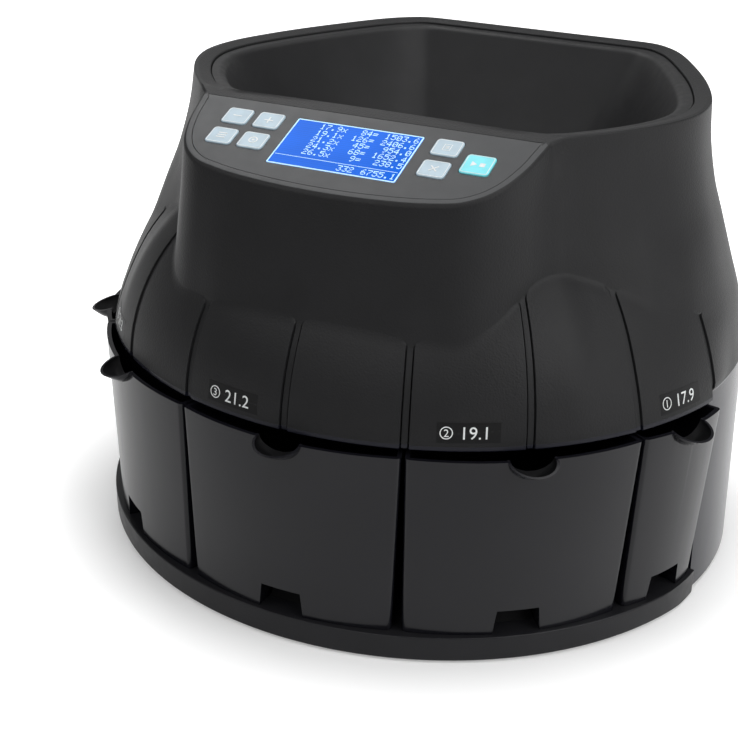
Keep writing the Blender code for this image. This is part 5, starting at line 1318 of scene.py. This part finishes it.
class SORTER_OT_cups(Operator):
    """Builds the five coin cups"""
    bl_idname = "sorter.cups"
    bl_label = "Coin cups"

    def execute(self, context):
        c = sizes("cups")
        for number, (azimuth, half) in enumerate(zip(CUP_AZIMUTHS, CUP_HALF_ANGLES), 1):
            mesh = shaded(moved(cup_mesh(c, half), cup_matrix(azimuth)))
            cup = add_piece(f"coin_bin_{number}", mesh, "cup", f"cup_{number}",
                            [f"coin_cup_{number}"])
            back = cup_matrix(azimuth).inverted()

            # The scoops' insides take the darker rail finish: painted shade in the hollows
            def in_scoop(centre, normal):
                at = back @ centre
                out = -at.y - c.top_radius + c.wall / 2
                rim = c.top - c.scoop_fall * out / (c.scoop_reach + c.wall / 2)
                inside = abs(at.x) < c.scoop_width / 2 and out > -c.wall and normal.z > 0.05
                return inside and c.top - c.scoop_depth < at.z < rim - CUP_EDGE

            paint_part(cup, "rail", in_scoop)
        return {"FINISHED"}


class SORTER_OT_base(Operator):
    """Builds the round base with its rails, its feet and the wall behind the cups"""
    bl_idname = "sorter.base"
    bl_label = "Base"

    def execute(self, context):
        c = sizes("cups")
        ring = add_piece("base_ring", shaded(base_mesh(c)), "base", "machine", ["base_tray"])
        # The rails, down in the cups' notches, take the darker rail finish: painted shade
        paint_part(ring, "rail", lambda centre, normal: centre.z > c.deck + SEAT_GAP)
        for i in range(1, 5):
            finished_node(f"foot_{i}", f"foot_pad_{i}", "rubber", "machine")
        finished_node("core_housing", "bay_wall", "dark", "machine")
        return {"FINISHED"}


# Control panel

def key_places():
    """Name, u, v, width and depth of each key."""
    p = sizes("panel")
    to_panel = panel_matrix().inverted()
    places = []
    for name in ("minus", "plus", "batch", "set", "print", "clear", "start"):
        spot = to_panel @ middle_of(f"key_{name}")
        side = (p.start_side, p.start_side) if name == "start" else (p.key_width, p.key_depth)
        places.append((name, spot.x, -spot.y, *side))
    return places


def strip(outline, width, low=0.0, high=MARK_HEIGHT):
    """A flat frame along an outline, so wide inwards."""
    inner = grown_outline(outline, -width)
    return loft("strip", [at_height(outline, low), at_height(outline, high), at_height(inner, high),
                          at_height(inner, low)], ring=True)


def grown_outline(outline, distance):
    """The closed outline, which runs anticlockwise, moved outwards by a distance."""
    grown = []
    for i, point in enumerate(outline):
        before, after = Vector(outline[i - 1]), Vector(outline[(i + 1) % len(outline)])
        along = (after - before).normalized()
        grown.append((point[0] + along.y * distance, point[1] - along.x * distance))
    return grown


def bar(width, depth, x=0.0, y=0.0, high=MARK_HEIGHT):
    return prism("bar", rectangle(width, depth, (x, y)), 0.0, high)


def key_mark(name, a):
    """The plain sign on a key of width a, as flat shapes."""
    if name == "minus":
        return [bar(0.34 * a, 0.05 * a)]
    if name == "plus":
        return [bar(0.34 * a, 0.05 * a), bar(0.05 * a, 0.34 * a)]
    if name == "batch":
        return [bar(0.34 * a, 0.05 * a, 0.0, y * a) for y in (-0.12, 0.0, 0.12)]
    if name == "set":
        return [strip(circle(0.17 * a, 28), 0.045 * a), prism("dot", circle(0.05 * a, 20), 0.0, MARK_HEIGHT)]
    if name == "print":
        lines = [bar(0.14 * a, 0.03 * a, 0.0, y * a) for y in (-0.06, 0.0, 0.06)]
        return [strip(rectangle(0.28 * a, 0.34 * a), 0.03 * a), *lines]
    if name == "clear":
        return [moved(bar(0.38 * a, 0.05 * a), Matrix.Rotation(turn, 4, "Z")) for turn in (0.785, -0.785)]
    triangle = [(-0.22 * a, -0.13 * a), (-0.02 * a, 0.0), (-0.22 * a, 0.13 * a)]
    return [prism("play", triangle, 0.0, MARK_HEIGHT), bar(0.18 * a, 0.18 * a, 0.16 * a)]


def dot_figures(shape, text, wide, high, right, foot):
    """Adds a row of dot figures to a mesh: dots so wide and high, its right end and its foot at a place."""
    for place, sign in enumerate(reversed(text)):
        left = right - (place * 6 + 5) * wide
        for row, bits in enumerate(DOT_FIGURES[sign]):
            for column in range(5):
                if bits >> (4 - column) & 1:
                    x, y = left + column * wide, foot + (6 - row) * high
                    far, up = x + wide * DOT_SHARE, y + high * DOT_SHARE
                    corners = [(x, y), (far, y), (far, up), (x, up)]
                    rows = [[shape.verts.new((*corner, z)) for corner in corners] for z in (0.0, DOT_HEIGHT)]
                    shape.faces.new(rows[0][::-1])
                    shape.faces.new(rows[1])
                    for i in range(4):
                        j = (i + 1) % 4
                        shape.faces.new((rows[0][i], rows[0][j], rows[1][j], rows[1][i]))


def figures(text, size, x, y):
    """Flat figures as a mesh, the middle of their foot at a place."""
    curve = bpy.data.curves.new("figures", "FONT")
    curve.body = text
    curve.size = size
    curve.align_x = "CENTER"
    curve.extrude = FIGURE_HALF_HEIGHT
    curve.resolution_u = 3
    holder = bpy.data.objects.new("figures", curve)
    bpy.context.scene.collection.objects.link(holder)
    bpy.context.view_layer.update()
    mesh = bpy.data.meshes.new_from_object(holder.evaluated_get(bpy.context.evaluated_depsgraph_get()))
    bpy.data.objects.remove(holder, do_unlink=True)
    return moved(mesh, Matrix.Translation((x, y, FIGURE_HALF_HEIGHT)))


def plate_hole(p, width, depth, centre, corner, steps):
    """A cut through the panel's plate, with a gap all round what fills it."""
    outline = fillet(rectangle(width + 2 * SEAT_GAP, depth + 2 * SEAT_GAP, centre), corner, steps)
    return cut(prism("hole", outline, -p.plate - OVERRUN, OVERRUN))


class SORTER_OT_panel(Operator):
    """Builds the control panel's plate, the display with its figures, and the keys"""
    bl_idname = "sorter.panel"
    bl_label = "Control panel"

    def execute(self, context):
        p = sizes("panel")
        place = panel_matrix()
        plate = prism("panel_plate", panel_outline(p.inset + SEAT_GAP), -p.plate, 0.0)
        cutters = [plate_hole(p, p.window_width, p.window_depth, (0.0, -p.window_v), WINDOW_CORNER, 3)]
        for _, u, v, width, depth in key_places():
            cutters.append(plate_hole(p, width, depth, (u, -v), p.key_corner + SEAT_GAP, 6))
        plate = worked(plate, *cutters, eased_edges(0.00025, 2, 50.0))
        add_piece("panel_plate", shaded(moved(plate, place)), "panel", "machine",
                  ["control_panel"])
        self.display(p, place)
        self.keys(p, place)
        return {"FINISHED"}

    def display(self, p, place):
        outline = fillet(rectangle(p.window_width, p.window_depth, (0.0, -p.window_v)), WINDOW_CORNER, 4)
        glass = worked(prism("display_glass", outline, -0.002, 0.0), eased_edges(0.0003, 2))
        add_piece("display_glass", shaded(moved(glass, place)), "display", "machine",
                  ["display_window"])
        pitch = p.window_depth / DISPLAY_LINES
        high = pitch / LINE_DOTS
        wide = high * DOT_WIDTH_SHARE
        columns = [part * p.window_width for part in (-0.08, 0.16, 0.48)]
        top = -p.window_v + p.window_depth / 2 - high
        rows = [(f"{across:.1f}x", f"{count}=", f"{across * count:.1f}")
                for across, count in zip(COIN_DIAMETERS, COIN_COUNTS)]
        rows.append(("", "", ""))
        total = sum(across * count for across, count in zip(COIN_DIAMETERS, COIN_COUNTS))
        rows.append(("", f"{sum(COIN_COUNTS)}", f"{total:.1f}"))

        def lines(shape):
            for i, row in enumerate(rows):
                for right, text in zip(columns, row):
                    dot_figures(shape, text, wide, high, right, top - pitch * (i + 1 - 0.4 * (i > 5)))

        line = bar(p.window_width - 0.003, 0.0003, 0.0, top - pitch * 5.55, DOT_HEIGHT)
        marks = [strip(outline, p.border, -0.0002, 0.0001), line, mesh_from("lines", lines)]
        lettering = moved(merged("display_figures", marks), place)
        add_piece("display_figures", lettering, "figures", "machine")

    def keys(self, p, place):
        for name, u, v, width, depth in key_places():
            spot = place @ Matrix.Translation((u, -v, 0.0))
            proud, foot = p.key_proud, -p.key_foot
            loops = []
            for grown, z in ((KEY_FLANGE, foot), (KEY_FLANGE, foot + 0.001), (0.0, foot + 0.001),
                             (0.0, proud - 0.0005), (-0.00008, proud - 0.00025),
                             (-0.0003, proud - 0.00007), (-0.0007, proud)):
                outline = fillet(rectangle(width + 2 * grown, depth + 2 * grown), p.key_corner + grown, 6)
                loops.append(at_height(outline, z))
            cap = shaded(moved(loft("key", loops), spot))
            finish, slot = ("start", "key_blue") if name == "start" else ("key", "key_grey")
            body = f"{name}_key"
            add_piece(f"keycap_{name}", cap, finish, body, [f"key_{name}"])
            ring = fillet(rectangle(width - 0.0014, depth - 0.0014), p.key_corner - 0.0007, 6)
            marks = [strip(ring, 0.00035, -0.0001, 0.0001)] + key_mark(name, width)
            marks = moved(merged("marks", marks), spot @ Matrix.Translation((0.0, 0.0, proud)))
            add_piece(f"keymark_{name}", marks, "mark", body)


# Labels on the dome

def on_dome(form, mesh, azimuth, height, lift):
    """Lays a flat mesh, x across and y up, on the dome's surface."""
    for vertex in mesh.vertices:
        x, y, out = vertex.co
        z = height + y
        turn = azimuth + x / form.k.dome_edge_radius
        radius = form.at(turn).radius(z, False) + lift + out
        vertex.co = polar(radius, turn, z)
    mesh.update()
    return mesh


class SORTER_OT_labels(Operator):
    """Puts a number label on the dome above each cup"""
    bl_idname = "sorter.labels"
    bl_label = "Labels"

    def execute(self, context):
        form = CasingForm(sizes("casing"))
        section = trapezoid(0.0, MARK_HEIGHT, LABEL_DEPTH / 2, LABEL_DEPTH / 2)
        left = -LABEL_WIDTH / 2 + LABEL_MARGIN
        for number, (azimuth, across) in enumerate(zip(LABEL_AZIMUTHS, COIN_DIAMETERS), 1):
            loops = [[Vector((LABEL_WIDTH * (i / LABEL_STEPS - 0.5), y, out)) for y, out in section]
                     for i in range(LABEL_STEPS + 1)]
            sticker = shaded(on_dome(form, loft("label", loops), azimuth, LABEL_HEIGHT, LABEL_LIFT))
            add_piece(f"label_{number}", sticker, "label", "machine")
            signs = [strip(circle(LABEL_RING, 28, (left, 0.0)), 0.0005, 0.0, 0.00008),
                     figures(str(number), NUMBER_SIZE, left, -0.0020),
                     figures(f"{across:.1f}", FIGURE_SIZE, 0.0032, -0.0032)]
            signs = on_dome(form, merged("label_figures", signs), azimuth, LABEL_HEIGHT, SIGN_LIFT)
            add_piece(f"label_figures_{number}", signs, "mark", "machine")
        return {"FINISHED"}


class SORTER_OT_mechanism(Operator):
    """Finishes the feed disc, the sorting plate and the coin sensors"""
    bl_idname = "sorter.mechanism"
    bl_label = "Sorting mechanism"

    def execute(self, context):
        finished_node("sorting_plate", "grading_plate", "zinc", "machine", 0.0003)
        finished_node("feed_disc", "feed_wheel", "zinc", "disc", 0.0004)
        finished_node("disc_knob", "wheel_knob", "dark", "disc", 0.0006, 3)
        for i in range(1, 6):
            finished_node(f"coin_sensor_{i}", f"sensor_block_{i}", "sensor", "machine")
        return {"FINISHED"}


class SORTER_OT_rear(Operator):
    """Finishes the recess at the back with its inlet, switch and socket"""
    bl_idname = "sorter.rear"
    bl_label = "Rear connections"

    def execute(self, context):
        finished_node("rear_panel", "rear_tray", "dark", "machine")
        inlet = finished_node("power_inlet", "mains_inlet", "socket", "machine", 0.0003)
        low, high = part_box("power_inlet")

        def in_socket(centre, normal):
            level = abs(centre.z - (low.z + high.z) / 2) < SOCKET_HALF_HEIGHT
            deep = low.y + SOCKET_FLOOR < centre.y < high.y - SOCKET_RIM
            return deep and level and abs(centre.x - (low.x + high.x) / 2) < SOCKET_HALF_WIDTH

        paint_part(inlet, "brass", in_socket)
        finished_node("switch_housing", "switch_frame", "socket", "machine", 0.0003)
        finished_node("switch_rocker", "switch_key", "dark", "rocker", 0.0005, 3)
        finished_node("printer_port", "printer_socket", "steel", "machine", 0.0003)
        return {"FINISHED"}


class SORTER_OT_stage(Operator):
    """Sets the floor, the soft lights and the camera"""
    bl_idname = "sorter.stage"
    bl_label = "Stage"

    def execute(self, context):
        s = sizes("stage")
        scene = context.scene
        floor = prism("floor", rectangle(FLOOR_SIDE, FLOOR_SIDE), -FLOOR_THICKNESS, 0.0)
        floor = bpy.data.objects.new("floor", floor)
        scene.collection.objects.link(floor)
        floor.data.materials.append(self.floor_finish(s))
        for name, (place, aim, width, height) in LAMPS.items():
            self.lamp(f"softbox_{name}", place, aim, width, height, getattr(s, f"{name}_light"))
        self.surroundings(s)
        camera = bpy.data.objects.new("camera", bpy.data.cameras.new("camera"))
        scene.collection.objects.link(camera)
        camera.data.lens = s.lens
        camera.data.sensor_width = 36.0
        camera.data.clip_start = 0.02
        turn = (Matrix.Rotation(s.heading, 4, "Z") @ Matrix.Rotation(math.pi / 2 - s.pitch, 4, "X")
                @ Matrix.Rotation(s.roll, 4, "Z"))
        camera.matrix_world = Matrix.Translation((s.distance_x, -s.distance_y, s.height)) @ turn
        scene.camera = camera
        scene.view_settings.view_transform = "Standard"
        return {"FINISHED"}

    def lamp(self, name, place, target, width, height, power):
        light = bpy.data.lights.new(name, "AREA")
        light.shape = "RECTANGLE"
        light.size, light.size_y = width, height
        light.energy = power
        thing = bpy.data.objects.new(name, light)
        bpy.context.scene.collection.objects.link(thing)
        thing.location = place
        thing.rotation_euler = (Vector(target) - Vector(place)).to_track_quat("-Z", "Y").to_euler()

    def floor_finish(self, s):
        """Pale matte floor that the camera sees as a white sheet with the machine's soft shadow on it, and a
        painted shade: less glow close round the base.
        """
        made = Finish("floor_white", 0.9, specular=0.0)
        made.set("Base Color", made.mottled(s.floor_colour[:], 0.01, 0.4))
        away = made.node("ShaderNodeVectorMath", {0: made.place}, operation="LENGTH").outputs["Value"]
        # Less glow close round the base: painted shade in a ring round the machine, on top of its real shadow
        near = ranged(made.tree, away, 0.19, 0.27, 0.25, 0.85)
        white = combined(made.tree, "ADD", near, ranged(made.tree, away, 0.30, 1.0, 0.0, 0.25))
        back = made.node("ShaderNodeSeparateXYZ", {"Vector": made.place}).outputs["Y"]
        back = ranged(made.tree, back, -0.3, 0.5)
        path = made.node("ShaderNodeLightPath").outputs
        seen = combined(made.tree, "MULTIPLY", path["Is Camera Ray"], white)
        mirrored = combined(made.tree, "MULTIPLY", path["Is Glossy Ray"], back)
        glow = combined(made.tree, "MAXIMUM", seen, mirrored)
        made.set("Emission Color", (1.0, 1.0, 1.0))
        made.set("Emission Strength", glow)
        return made.material

    def surroundings(self, s):
        """White backdrop for the camera, a dimmer one in reflections, and even light on the rest."""
        world = bpy.data.worlds.new("studio")
        bpy.context.scene.world = world
        world.use_nodes = True
        tree = world.node_tree
        tree.nodes.clear()
        direction = add_node(tree, "ShaderNodeTexCoord").outputs["Generated"]
        part = add_node(tree, "ShaderNodeSeparateXYZ", {"Vector": direction})
        behind = ranged(tree, part.outputs["Y"], -0.6, 0.3, 0.25, 1.0)
        soft = combined(tree, "MULTIPLY", behind, s.sky)
        path = add_node(tree, "ShaderNodeLightPath").outputs
        clear = combined(tree, "MAXIMUM", path["Is Camera Ray"], path["Is Transmission Ray"])
        low = ranged(tree, part.outputs["Z"], 0.12, 0.5, 1.0, 0.3)
        mirrored = combined(tree, "MULTIPLY", combined(tree, "MULTIPLY", behind, low), s.backdrop)
        glossy = add_node(tree, "ShaderNodeMix", {0: path["Is Glossy Ray"], 2: soft, 3: mirrored})
        strength = add_node(tree, "ShaderNodeMix", {0: clear, 2: glossy.outputs[0], 3: 1.0})
        background = add_node(tree, "ShaderNodeBackground", {"Color": (1.0, 1.0, 1.0, 1.0),
                                                             "Strength": strength.outputs[0]})
        add_node(tree, "ShaderNodeOutputWorld", {"Surface": background.outputs[0]})


OPERATORS = (SORTER_OT_finishes, SORTER_OT_casing, SORTER_OT_cups, SORTER_OT_base, SORTER_OT_panel,
             SORTER_OT_labels, SORTER_OT_mechanism, SORTER_OT_rear, SORTER_OT_stage)


class SORTER_PT_sidebar(Panel):
    """Lists the steps and the sizes of the machine"""
    bl_label = "Coin sorter"
    bl_idname = "SORTER_PT_sidebar"
    bl_space_type = "VIEW_3D"
    bl_region_type = "UI"
    bl_category = "Coin sorter"

    def draw(self, context):
        for step in OPERATORS:
            self.layout.operator(step.bl_idname)
        for group, kind in GROUPS.items():
            box = self.layout.box()
            box.label(text=group.capitalize())
            for name in kind.__annotations__:
                box.prop(sizes(group), name)


CLASSES = (*GROUPS.values(), *OPERATORS, SORTER_PT_sidebar)


def register():
    for kind in CLASSES:
        bpy.utils.register_class(kind)
    for group, kind in GROUPS.items():
        setattr(bpy.types.Scene, f"sorter_{group}", PointerProperty(type=kind))


def unregister():
    for group in GROUPS:
        delattr(bpy.types.Scene, f"sorter_{group}")
    for kind in reversed(CLASSES):
        bpy.utils.unregister_class(kind)


def main():
    register()
    for step in OPERATORS:
        group, name = step.bl_idname.split(".")
        getattr(getattr(bpy.ops, group), name)()


if __name__ == "__main__":
    main()
